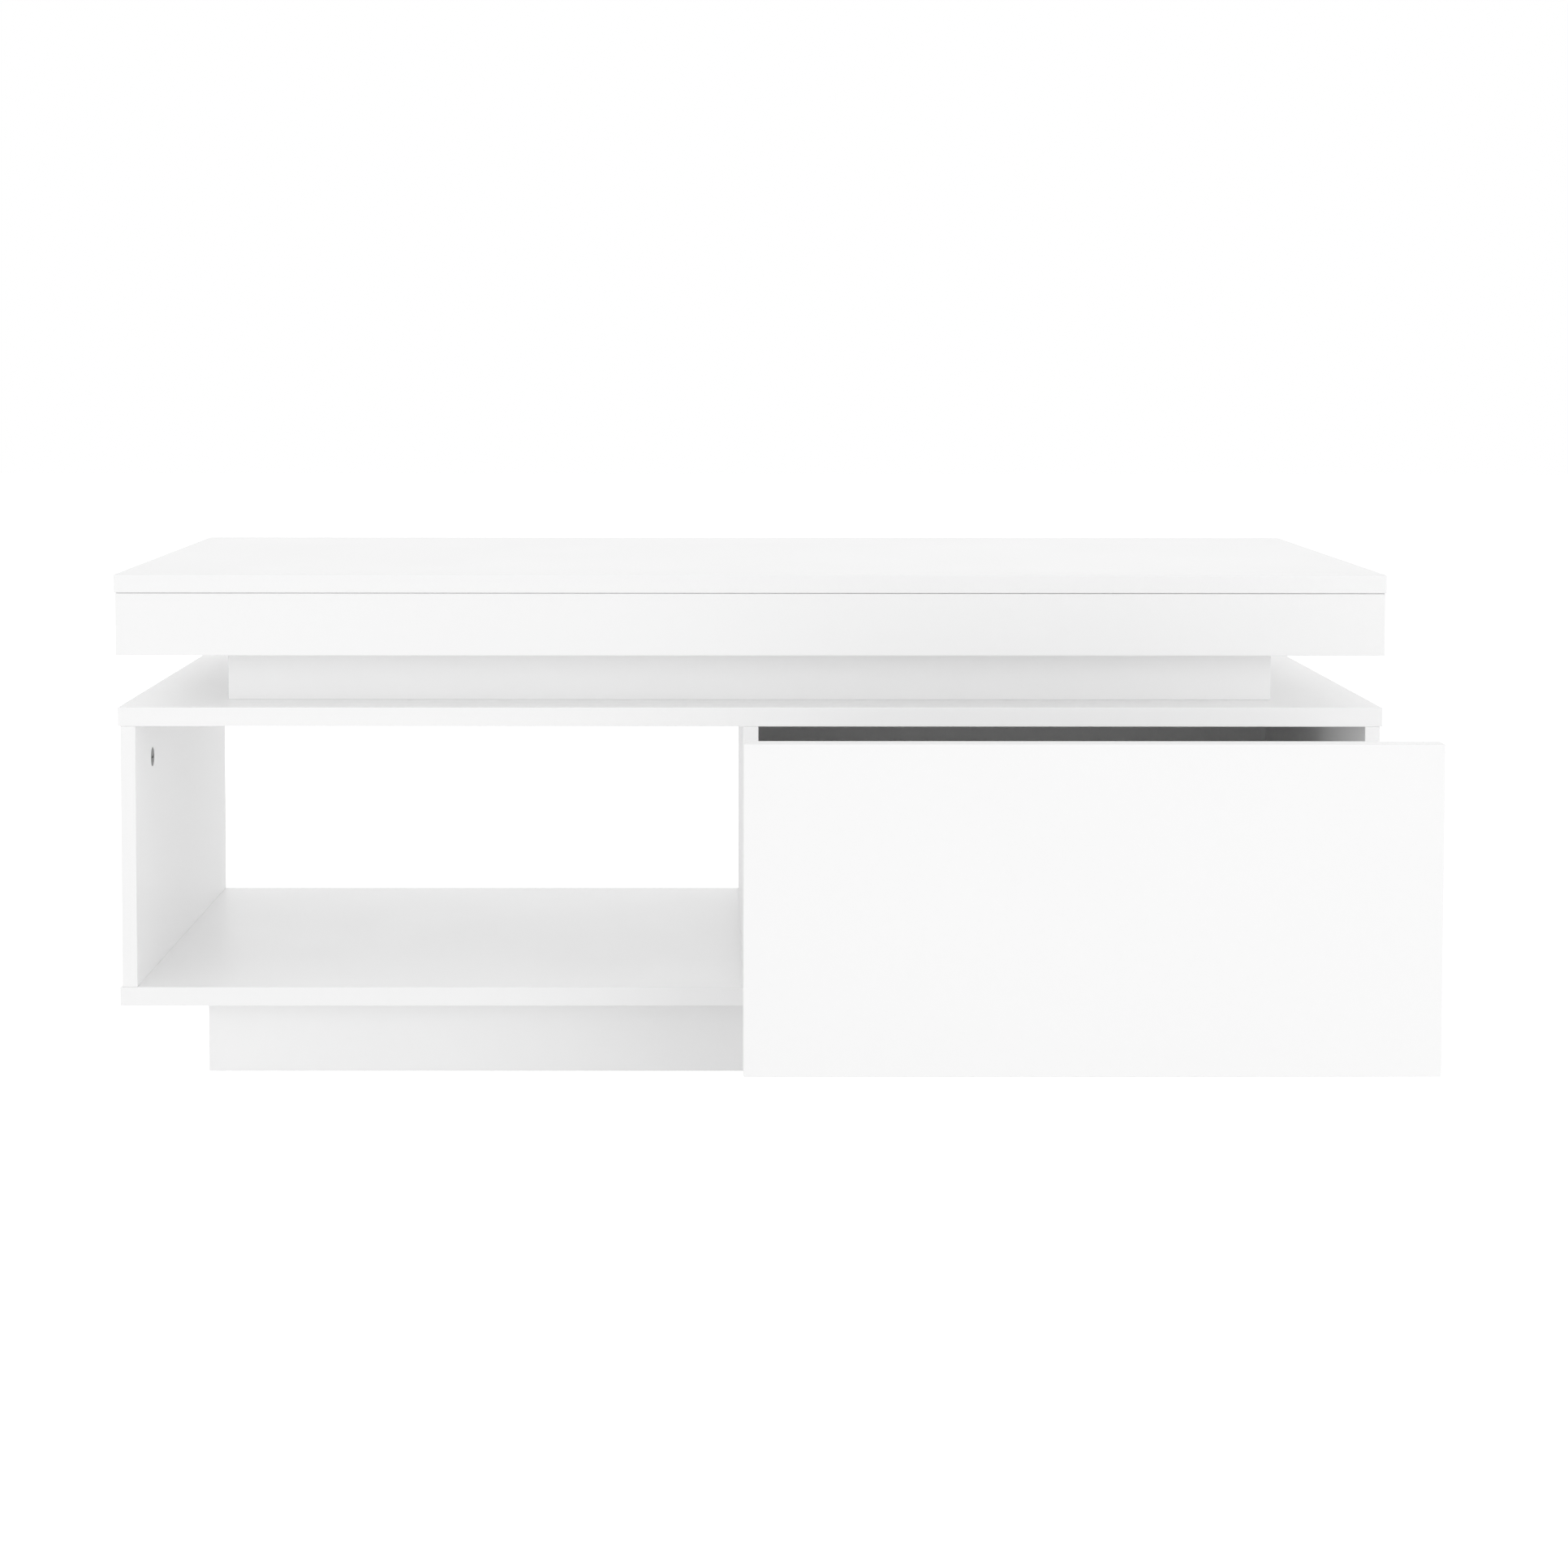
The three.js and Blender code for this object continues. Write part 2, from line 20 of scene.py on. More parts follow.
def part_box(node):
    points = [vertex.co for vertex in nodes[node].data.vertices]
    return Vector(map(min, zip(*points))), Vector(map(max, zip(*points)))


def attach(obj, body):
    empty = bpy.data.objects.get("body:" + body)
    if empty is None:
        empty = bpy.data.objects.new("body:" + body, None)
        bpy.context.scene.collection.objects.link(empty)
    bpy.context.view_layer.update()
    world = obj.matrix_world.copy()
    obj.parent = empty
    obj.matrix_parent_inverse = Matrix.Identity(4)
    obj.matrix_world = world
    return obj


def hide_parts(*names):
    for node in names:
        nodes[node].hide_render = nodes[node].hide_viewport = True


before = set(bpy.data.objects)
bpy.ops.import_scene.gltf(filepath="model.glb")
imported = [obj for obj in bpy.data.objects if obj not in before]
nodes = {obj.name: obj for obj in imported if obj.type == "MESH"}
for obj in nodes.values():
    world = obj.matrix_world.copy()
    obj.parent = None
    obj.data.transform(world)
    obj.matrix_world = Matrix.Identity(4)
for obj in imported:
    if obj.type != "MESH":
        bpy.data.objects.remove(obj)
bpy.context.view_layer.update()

MM = 0.001
print("boards and fittings in the frame:", len(nodes))

# %% [markdown]
# ## The camera
#
# The table is seen from the front, a little above lid height, by a long lens from about 2.8 m.
# The camera is almost level and the picture is moved by the lens shift instead, which keeps
# upright edges upright. A rotation built from three plain turns is easier to read than Euler
# angles: turn to the side, tip down, then roll.

# %% Camera
EYE = Vector((-31.2, -2830.9, 587.9)) * MM
TURN_RIGHT = math.radians(0.331)
TIP_DOWN = math.radians(3.19)
ROLL = math.radians(0.061)

camera_data = bpy.data.cameras.new("camera")
camera_data.sensor_width = 36
camera_data.lens = 75.73
camera_data.shift_x = 0.0342
camera_data.shift_y = -0.1633
camera_data.clip_start = 0.05
camera_data.clip_end = 100
camera = bpy.data.objects.new("camera", camera_data)
bpy.context.scene.collection.objects.link(camera)
camera.matrix_world = (
    Matrix.Translation(EYE)
    @ Matrix.Rotation(-TURN_RIGHT, 4, "Z")
    @ Matrix.Rotation(math.pi / 2 - TIP_DOWN, 4, "X")
    @ Matrix.Rotation(ROLL, 4, "Z")
)
bpy.context.scene.camera = camera
print("camera at", [round(v, 3) for v in EYE], "lens", camera_data.lens)

# %% [markdown]
# ## A white room
#
# White furniture on white is lit by a white room. A sky of one even brightness does most of the
# work: surfaces are only darker where something stands in the way of the sky, which is what gives
# the recesses under the lid and over the plinth their grey. White boards also light each other in
# the recesses, so light is followed through ten bounces instead of four. The sky that is looked at
# directly is full white, a little brighter than the light it gives, so no grey band stands over
# the floor. The standard view transform keeps white at white.

# %% World
SKY_LIGHT, SKY_SEEN = 0.85, 1.0

scene = bpy.context.scene
scene.view_settings.view_transform = "Standard"
scene.view_settings.look = "None"
scene.cycles.max_bounces = 12
scene.cycles.diffuse_bounces = 10

world = bpy.data.worlds.new("white_room")
world.use_nodes = True
scene.world = world
sky = world.node_tree.nodes["Background"]
sky.inputs["Color"].default_value = (1.0, 1.0, 1.0, 1.0)
looked_at = world.node_tree.nodes.new("ShaderNodeLightPath")
sky_level = world.node_tree.nodes.new("ShaderNodeMapRange")
sky_level.inputs["To Min"].default_value = SKY_LIGHT
sky_level.inputs["To Max"].default_value = SKY_SEEN
world.node_tree.links.new(looked_at.outputs["Is Camera Ray"], sky_level.inputs["Value"])
world.node_tree.links.new(sky_level.outputs["Result"], sky.inputs["Strength"])
print("sky gives", SKY_LIGHT, "and is seen at", SKY_SEEN)

# %% [markdown]
# ## Lamps
#
# An even sky has no direction, and a box lit by it alone looks flat. Two very large lamps far in
# front, the right one stronger, make the front faces the brightest. Three weak ones, at the sides
# and behind, keep the ends and the back readable without burning them out. All of them are
# large, so none throws a hard edge of shadow.

# %% Area lamps
TABLE_MIDDLE = (0, 0, 0.2)


def add_lamp(name, place, size, watts):
    """A square area lamp at place, turned so that its beam runs to the table's middle."""
    lamp = bpy.data.lights.new(name, "AREA")
    lamp.shape = "SQUARE"
    lamp.size = size
    lamp.energy = watts
    holder = bpy.data.objects.new(name, lamp)
    holder.location = place
    beam = Vector(TABLE_MIDDLE) - Vector(place)
    holder.rotation_euler = beam.to_track_quat("-Z", "Y").to_euler()
    scene.collection.objects.link(holder)


add_lamp("lamp_far_right", (4.0, -8.5, 1.0), 5.0, 100)
add_lamp("lamp_far_left", (-4.0, -8.5, 1.0), 5.0, 60)
add_lamp("lamp_left", (-3.5, -0.5, 0.8), 2.0, 7)
add_lamp("lamp_right", (3.5, -0.5, 0.8), 2.0, 15)
add_lamp("lamp_back", (0.0, 3.5, 1.5), 3.0, 6)

# %% [markdown]
# ## The floor
#
# The floor is one large square, so far across that its edge never shows. It isn't part of the
# table. Its finish is made further down, with the patterns.

# %% Floor
FLOOR_HALF = 12.0
floor_mesh = bpy.data.meshes.new("floor")
corners = [(-FLOOR_HALF, -FLOOR_HALF, 0), (FLOOR_HALF, -FLOOR_HALF, 0),
           (FLOOR_HALF, FLOOR_HALF, 0), (-FLOOR_HALF, FLOOR_HALF, 0)]
floor_mesh.from_pydata(corners, [], [(0, 1, 2, 3)])
floor = bpy.data.objects.new("floor", floor_mesh)
scene.collection.objects.link(floor)
print("floor laid,", 2 * FLOOR_HALF, "m across")

# %% [markdown]
# ## Surface patterns shared by the finishes
#
# A finish is a Principled shader plus small departures from evenness. Three of those departures
# turn up on several materials, so each is a node group used with different numbers:
# *mottle* is a slow drift of tone, *grain* is a fine all-round texture, and *drawn* is a texture
# stretched along one direction, as sheet metal has from rolling. Groups give out only masks and
# heights, and the shader itself stays in each material.

# %% Node helpers and groups
def new_group(name, numbers):
    """A shader node group with one float input for each entry of numbers, and one output Mask."""
    group = bpy.data.node_groups.new(name, "ShaderNodeTree")
    for label, value in numbers.items():
        socket = group.interface.new_socket(label, in_out="INPUT", socket_type="NodeSocketFloat")
        socket.default_value = value
    group.interface.new_socket("Mask", in_out="OUTPUT", socket_type="NodeSocketFloat")
    return group, group.nodes.new("NodeGroupInput"), group.nodes.new("NodeGroupOutput")


def noise_node(tree, detail, roughness=0.5):
    """A noise texture with its detail set."""
    node = tree.nodes.new("ShaderNodeTexNoise")
    node.inputs["Detail"].default_value = detail
    node.inputs["Roughness"].default_value = roughness
    return node


def make_mottle():
    """Slow drift: one soft noise, stretched so that its useful middle part fills 0 to 1."""
    group, given, out = new_group("mottle", {"Scale": 4.0})
    place = group.nodes.new("ShaderNodeTexCoord")
    noise = noise_node(group, 2.0)
    spread = group.nodes.new("ShaderNodeMapRange")
    spread.interpolation_type = "SMOOTHSTEP"
    spread.inputs["From Min"].default_value = 0.2
    spread.inputs["From Max"].default_value = 0.8
    group.links.new(place.outputs["Object"], noise.inputs["Vector"])
    group.links.new(given.outputs["Scale"], noise.inputs["Scale"])
    group.links.new(noise.outputs["Fac"], spread.inputs["Value"])
    group.links.new(spread.outputs["Result"], out.inputs["Mask"])
    return group


def make_grain():
    """Fine all-round texture: a noise and a second one of four times its scale, half and half."""
    group, given, out = new_group("grain", {"Scale": 900.0})
    place = group.nodes.new("ShaderNodeTexCoord")
    coarse = noise_node(group, 1.0)
    fine = noise_node(group, 1.0)
    times = group.nodes.new("ShaderNodeMath")
    times.operation = "MULTIPLY"
    times.inputs[1].default_value = 4.0
    blend = group.nodes.new("ShaderNodeMix")
    group.links.new(place.outputs["Object"], coarse.inputs["Vector"])
    group.links.new(place.outputs["Object"], fine.inputs["Vector"])
    group.links.new(given.outputs["Scale"], coarse.inputs["Scale"])
    group.links.new(given.outputs["Scale"], times.inputs[0])
    group.links.new(times.outputs["Value"], fine.inputs["Scale"])
    group.links.new(coarse.outputs["Fac"], blend.inputs["A"])
    group.links.new(fine.outputs["Fac"], blend.inputs["B"])
    group.links.new(blend.outputs["Result"], out.inputs["Mask"])
    return group


def make_drawn():
    """Rolling lines: noise whose coordinates are squeezed across the Y axis, so it runs along Y."""
    group, given, out = new_group("drawn", {"Scale": 600.0})
    place = group.nodes.new("ShaderNodeTexCoord")
    squeeze = group.nodes.new("ShaderNodeMapping")
    squeeze.inputs["Scale"].default_value = (1.0, 0.02, 1.0)
    noise = noise_node(group, 3.0, 0.6)
    group.links.new(place.outputs["Object"], squeeze.inputs["Vector"])
    group.links.new(squeeze.outputs["Vector"], noise.inputs["Vector"])
    group.links.new(given.outputs["Scale"], noise.inputs["Scale"])
    group.links.new(noise.outputs["Fac"], out.inputs["Mask"])
    return group


MOTTLE, GRAIN, DRAWN = make_mottle(), make_grain(), make_drawn()
print("groups:", [group.name for group in (MOTTLE, GRAIN, DRAWN)])


# %% Finish builder
def grey(value, warmth=0.0):
    """A near-neutral colour: warmth moves red up and blue down by the same share."""
    return (value * (1 + warmth), value, value * (1 - warmth), 1.0)


def start_finish(name, metallic):
    """A new material with a Principled shader; returns the material, its tree and the shader."""
    made = bpy.data.materials.new(name)
    made.use_nodes = True
    shader = made.node_tree.nodes["Principled BSDF"]
    shader.inputs["Metallic"].default_value = metallic
    return made, made.node_tree, shader


def pattern(tree, group, scale):
    """One use of a pattern group in a material, at its own scale."""
    node = tree.nodes.new("ShaderNodeGroup")
    node.node_tree = group
    node.inputs["Scale"].default_value = scale
    return node.outputs["Mask"]


def vary_colour(tree, mask, low, high):
    """Colour that goes from low to high with a mask."""
    mix = tree.nodes.new("ShaderNodeMix")
    mix.data_type = "RGBA"
    mix.inputs["A"].default_value = low
    mix.inputs["B"].default_value = high
    tree.links.new(mask, mix.inputs["Factor"])
    return mix.outputs["Result"]


def vary_number(tree, mask, low, high):
    """Number that goes from low to high as a mask goes from 0 to 1."""
    spread = tree.nodes.new("ShaderNodeMapRange")
    spread.inputs["To Min"].default_value = low
    spread.inputs["To Max"].default_value = high
    tree.links.new(mask, spread.inputs["Value"])
    return spread.outputs["Result"]


def emboss(tree, shader, mask, depth):
    """Bump from a mask, depth metres from 0 to 1, into the shader's Normal."""
    bump = tree.nodes.new("ShaderNodeBump")
    bump.inputs["Strength"].default_value = 1.0
    bump.inputs["Distance"].default_value = depth
    tree.links.new(mask, bump.inputs["Height"])
    tree.links.new(bump.outputs["Normal"], shader.inputs["Normal"])


# %% [markdown]
# ## White board
#
# Melamine-faced board is a bright, slightly cool white with a satin sheen and a texture of very
# fine pores pressed into the resin. The edge band is a strip of the same white glued to the cut
# edge, and where the two meet a hairline shows on close view. The pieces carry an attribute named
# band that runs from 0 on the faces to 1 on the banded edges, so one material draws both and puts
# the hairline half-way round the rounded corner.

# %% White board
WHITE_LOW, WHITE_HIGH = grey(0.945), grey(0.952)


def make_white_board(name, low, high, shine_low, shine_high):
    """Satin white: tone from mottle, sheen from a second mottle, pores from grain, band hairline."""
    made, tree, shader = start_finish(name, 0.0)
    tone = vary_colour(tree, pattern(tree, MOTTLE, 5.0), low, high)
    band = tree.nodes.new("ShaderNodeAttribute")
    band.attribute_name = "band"
    hairline = tree.nodes.new("ShaderNodeValToRGB")
    hairline.color_ramp.elements[0].position = 0.44
    hairline.color_ramp.elements[0].color = (1, 1, 1, 1)
    hairline.color_ramp.elements[1].position = 0.56
    hairline.color_ramp.elements[1].color = (1, 1, 1, 1)
    middle = hairline.color_ramp.elements.new(0.5)
    middle.color = (0.8, 0.8, 0.8, 1)
    tree.links.new(band.outputs["Fac"], hairline.inputs["Fac"])
    shade = tree.nodes.new("ShaderNodeMix")
    shade.data_type = "RGBA"
    shade.blend_type = "MULTIPLY"
    shade.inputs["Factor"].default_value = 1.0
    tree.links.new(tone, shade.inputs["A"])
    tree.links.new(hairline.outputs["Color"], shade.inputs["B"])
    tree.links.new(shade.outputs["Result"], shader.inputs["Base Color"])
    sheen = vary_number(tree, pattern(tree, MOTTLE, 11.0), shine_low, shine_high)
    tree.links.new(sheen, shader.inputs["Roughness"])
    emboss(tree, shader, pattern(tree, GRAIN, 700.0), 0.000012)
    return made


faced_board = make_white_board("faced_board", WHITE_LOW, WHITE_HIGH, 0.28, 0.33)
print("made", faced_board.name)

# %% [markdown]
# ## The floor's finish
#
# The floor is matt and near white, with a very slow drift of tone. Where it is looked at directly
# it also glows, which lifts it to the white of the sky without throwing more light up at the
# table. The glow hides most of the soft shadow that the table would leave on it.

# %% Floor finish
FLOOR_GLOW = 0.85

floor_finish, floor_tree, floor_shader = start_finish("studio_floor", 0.0)
floor_tone = vary_colour(floor_tree, pattern(floor_tree, MOTTLE, 0.7), grey(0.965), grey(0.98))
floor_tree.links.new(floor_tone, floor_shader.inputs["Base Color"])
floor_shader.inputs["Roughness"].default_value = 0.9
floor_shader.inputs["Specular IOR Level"].default_value = 0.0
seen = floor_tree.nodes.new("ShaderNodeLightPath")
glow = vary_number(floor_tree, seen.outputs["Is Camera Ray"], 0.0, FLOOR_GLOW)
floor_tree.links.new(glow, floor_shader.inputs["Emission Strength"])
floor_shader.inputs["Emission Color"].default_value = grey(1.0)
floor_mesh.materials.append(floor_finish)
print("made", floor_finish.name)

# %% [markdown]
# ## Steel, zinc and rubber
#
# The fittings have four metal finishes. The cam discs are zinc castings, dull and slightly sandy.
# The slides and brackets are sheet steel with a bright plating, and keep the faint lines that
# rolling left in the sheet, so their roughness is driven by the *drawn* pattern. The lift arms and
# the cross tube are powder coated black, with the orange-peel skin of baked powder. The spring
# wire is dark and oiled. Dust and handling show as a slow change of tone on all of them, and as a
# slow change of sheen on the black coat and the rubber.

# %% Metal and rubber finishes
def make_metal(name, low, high, sheen, patterned, depth):
    """Bare metal: colour from mottle, roughness and bump from a texture group at its own scale."""
    made, tree, shader = start_finish(name, 1.0)
    tone = vary_colour(tree, pattern(tree, MOTTLE, 40.0), low, high)
    tree.links.new(tone, shader.inputs["Base Color"])
    group, scale = patterned
    texture = pattern(tree, group, scale)
    tree.links.new(vary_number(tree, texture, *sheen), shader.inputs["Roughness"])
    emboss(tree, shader, texture, depth)
    return made


def make_coat(name, low, high, sheen, scale, depth):
    """Coated or moulded skin: not metallic, a rounded pebble of given scale and depth."""
    made, tree, shader = start_finish(name, 0.0)
    tone = vary_colour(tree, pattern(tree, MOTTLE, 30.0), low, high)
    tree.links.new(tone, shader.inputs["Base Color"])
    tree.links.new(vary_number(tree, pattern(tree, MOTTLE, 55.0), *sheen), shader.inputs["Roughness"])
    emboss(tree, shader, pattern(tree, GRAIN, scale), depth)
    return made


cast_zinc = make_metal("cast_zinc", grey(0.30), grey(0.38), (0.42, 0.60), (GRAIN, 2500.0), 0.00004)
plated_slide = make_metal("plated_slide", grey(0.60, -0.01), grey(0.68, -0.01), (0.22, 0.38),
                          (DRAWN, 900.0), 0.00001)
plated_bracket = make_metal("plated_bracket", grey(0.56), grey(0.63), (0.28, 0.42), (DRAWN, 600.0), 0.00001)
oiled_wire = make_metal("oiled_wire", grey(0.20), grey(0.27), (0.25, 0.40), (GRAIN, 1800.0), 0.00001)
black_powder = make_coat("black_powder", grey(0.016), grey(0.024), (0.38, 0.52), 1100.0, 0.00005)
pale_rubber = make_coat("pale_rubber", grey(0.62, 0.01), grey(0.70, 0.01), (0.55, 0.70), 3000.0, 0.00001)
print("finishes:", [m.name for m in bpy.data.materials])

# %% [markdown]
# ## Shells
#
# Every piece below is a closed shell: points, four-sided faces, three-sided faces, and for each
# point how far it is on the banded edge. Rings of points are laid one above the other and joined
# by four-sided faces, which is all that a board, a pin or a wire needs. The signed volume tells
# whether a shell is inside out, and the number of edges that don't have exactly two faces tells
# whether it leaks.

# %% Shell helpers
def shell(points, quads, triangles=None, band=None):
    """A shell as a dictionary of arrays."""
    points = np.asarray(points, dtype=float).reshape(-1, 3)
    quads = np.asarray(quads, int).reshape(-1, 4)
    triangles = np.asarray([] if triangles is None else triangles, int).reshape(-1, 3)
    band = np.zeros(len(points)) if band is None else np.asarray(band, float).reshape(-1)
    return {"points": points, "quads": quads, "triangles": triangles, "band": band}


def all_triangles(made):
    """Four-sided faces split along their first diagonal, together with the three-sided ones."""
    quads = made["quads"]
    return np.vstack([quads[:, [0, 1, 2]], quads[:, [0, 2, 3]], made["triangles"]])


def flipped(made):
    """The same shell with every face turned over."""
    return {**made, "quads": made["quads"][:, ::-1], "triangles": made["triangles"][:, ::-1]}


def outward(made):
    """The shell facing outwards: its signed volume, a sixth of the sum of a . (b x c), is positive."""
    a, b, c = (made["points"][all_triangles(made)[:, k]] for k in range(3))
    volume = np.einsum("ij,ij->", a, np.cross(b, c)) / 6
    return made if volume > 0 else flipped(made)


def mirrored(made):
    """The shell on the other side of the plane x = 0."""
    return flipped({**made, "points": made["points"] * (-1, 1, 1)})


def joined(*parts):
    """Several shells as one, each one's faces counting on from the points before it."""
    starts = np.cumsum([0] + [len(part["points"]) for part in parts[:-1]])
    return {
        "points": np.vstack([part["points"] for part in parts]),
        "quads": np.vstack([part["quads"] + start for part, start in zip(parts, starts)]),
        "triangles": np.vstack([part["triangles"] + start for part, start in zip(parts, starts)]),
        "band": np.concatenate([part["band"] for part in parts]),
    }


def leaks(made):
    """How many edges don't have exactly two faces."""
    loose = all_triangles(made)
    edges = np.sort(np.vstack([loose[:, [0, 1]], loose[:, [1, 2]], loose[:, [2, 0]]]), axis=1)
    return int(np.sum(np.unique(edges, axis=0, return_counts=True)[1] != 2))


def between_rings(rings, count, close_rings=False):
    """Faces between neighbouring rings of count points: (i, i + 1) below and the same above."""
    ring = np.arange(rings if close_rings else rings - 1)[:, None]
    step = np.arange(count)[None, :]
    above, onward = (ring + 1) % rings, (step + 1) % count
    faces = [ring * count + step, ring * count + onward, above * count + onward, above * count + step]
    return np.stack(faces, axis=-1).reshape(-1, 4)


made_count = {"pieces": 0, "triangles": 0}


def make_piece(node, suffix, made, finish, body):
    """The shell as an object that takes a frame node's place, rides its body and has its finish."""
    made = outward(made)
    mesh = bpy.data.meshes.new(f"{node}_{suffix}")
    faces = made["quads"].tolist() + made["triangles"].tolist()
    mesh.from_pydata(made["points"].tolist(), [], faces)
    band = mesh.attributes.new("band", "FLOAT", "POINT")
    band.data.foreach_set("value", made["band"].astype(np.float32))
    mesh.polygons.foreach_set("use_smooth", np.ones(len(mesh.polygons), dtype=bool))
    mesh.materials.append(finish)
    mesh.update()
    piece = bpy.data.objects.new(mesh.name, mesh)
    scene.collection.objects.link(piece)
    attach(piece, body)
    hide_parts(node)
    made_count["pieces"] += 1
    made_count["triangles"] += len(all_triangles(made))
    gaps = leaks(made)
    if gaps:
        print(piece.name, "leaks at", gaps, "edges")


def make_pair(name, suffix, made, finish, body):
    """A shell drawn for the right side, and its mirror image on the left."""
    make_piece(f"{name}_right", suffix, made, finish, body)
    make_piece(f"{name}_left", suffix, mirrored(made), finish, body)


print("shell helpers ready")

# %% [markdown]
# ## Outlines with rounded corners
#
# A board, a bracket and a slide's section all start as a flat outline. Its corners are rounded to
# an arc, and just past each end of an arc stands one more point. That point keeps the long
# straight side flat in shading: without it, the side would share the arc's last normal and look
# bent. Each point also knows its outward normal, so that the outline can be drawn in or let out
# without changing its number of points.

# %% Outline helpers
SUPPORT = 0.35 * MM


def rounded(corners, radius, steps=4, support=SUPPORT):
    """Closed path round corners given anticlockwise (clockwise for a hole), as points and normals.

    Where sides with outward normals m and n meet at P, s is +1 if the corner sticks out and -1 if
    it goes in. The arc's centre is P - s r (m + n) / (1 + m . n) and its points are
    centre + s r (m turned towards n)."""
    corners = np.asarray(corners, float)
    radius = np.broadcast_to(np.asarray(radius, float), len(corners))[:, None]
    along = np.roll(corners, -1, axis=0) - corners
    along = along / np.linalg.norm(along, axis=1, keepdims=True)
    before = np.roll(along, 1, axis=0)
    m = np.stack([before[:, 1], -before[:, 0]], axis=1)
    n = np.stack([along[:, 1], -along[:, 0]], axis=1)
    turning = before[:, 0] * along[:, 1] - before[:, 1] * along[:, 0]
    turn = np.arctan2(turning, np.sum(before * along, axis=1))
    s = np.sign(turn)[:, None]
    centre = corners - s * radius * (m + n) / (1 + np.sum(m * n, axis=1, keepdims=True))
    share = np.linspace(0, 1, steps + 1)[None, :]
    angle = np.arctan2(m[:, 1], m[:, 0])[:, None] + turn[:, None] * share
    normals = np.stack([np.cos(angle), np.sin(angle)], axis=2)
    points = centre[:, None] + (s * radius)[:, None] * normals
    first, last = points[:, :1] - support * before[:, None], points[:, -1:] + support * along[:, None]
    points = np.concatenate([first, points, last], axis=1)
    normals = np.concatenate([normals[:, :1], normals, normals[:, -1:]], axis=1)
    return points.reshape(-1, 2), normals.reshape(-1, 2)


def circle(centre, radius, count=32, hole=False):
    """Circle as points and normals; a hole runs the other way round and its normals point in."""
    angle = np.arange(count) * 2 * np.pi / count * (-1 if hole else 1)
    spoke = np.stack([np.cos(angle), np.sin(angle)], axis=1)
    return np.asarray(centre, float) + radius * spoke, spoke * (-1 if hole else 1)


def rectangle(low, high, hole=False):
    """Corners of a rectangle, anticlockwise, or clockwise for a hole."""
    (a, b), (c, d) = low, high
    corners = [(a, b), (c, b), (c, d), (a, d)]
    return corners[::-1] if hole else corners


print("a rounded rectangle has", len(rounded(rectangle((0, 0), (1, 1)), 0.1)[0]), "points")

# %% [markdown]
# ## Plates
#
# A plate is an outline carried through its thickness. At both faces the outline is drawn in along
# a quarter circle, which gives the small rounding that an edge-banding machine, a press or a
# moulding tool leaves, and which catches a thin line of light on every board. Holes are outlines
# too, and pockets are holes with a floor. The flat faces are filled with a Delaunay
# triangulation, which keeps every point of the outline, so the shell stays closed.

# %% Plate helpers
AXES = {"X": (2, 0, 1), "Y": (1, 2, 0), "Z": (0, 1, 2)}  # which drawn direction becomes x, y, z
RIM = 0.15 * MM  # from the rounding's inner end to the support ring on the flat face


def edge_profile(low, high, edge, steps, foot_round=True):
    """How far the outline is drawn in, and at what height: e (1 - sin a) at e (1 - cos a)."""
    a = np.linspace(0, np.pi / 2, steps + 1)
    support = min(SUPPORT, (high - low) / 2 - edge * 1.05)
    draw_in = np.concatenate([[edge + min(RIM, edge)], edge * (1 - np.sin(a)), [0.0]])
    rise = np.concatenate([[0.0], edge * (1 - np.cos(a)), [edge + support]])
    if foot_round:
        return np.concatenate([draw_in, draw_in[::-1]]), np.concatenate([low + rise, high - rise[::-1]])
    return np.concatenate([[0.0], draw_in[::-1]]), np.concatenate([[low], high - rise[::-1]])


def runs_clockwise(loop):
    """Whether a flat loop runs clockwise: the sum of x dy - y dx over its sides is negative."""
    ahead = np.roll(loop, -1, axis=0)
    return np.sum(loop[:, 0] * ahead[:, 1] - loop[:, 1] * ahead[:, 0]) < 0


def fill(loops, start_indices):
    """Delaunay triangles of the area between a first loop and the holes after it."""
    flat = np.vstack(loops)
    sizes = [len(loop) for loop in loops]
    numbers = np.split(np.arange(len(flat)), np.cumsum(sizes)[:-1])
    faces = [(run[::-1] if runs_clockwise(flat[run]) else run).tolist() for run in numbers]
    points, _, triangles, _, _, owners = delaunay_2d_cdt(flat.tolist(), [], faces, 1, 1e-9)
    assert len(points) == len(flat), "two outline points fell together"
    kept = np.array([triangle for triangle, owner in zip(triangles, owners) if list(owner) == [0]])
    lookup = np.concatenate([start + np.arange(size) for start, size in zip(start_indices, sizes)])
    return lookup[kept]


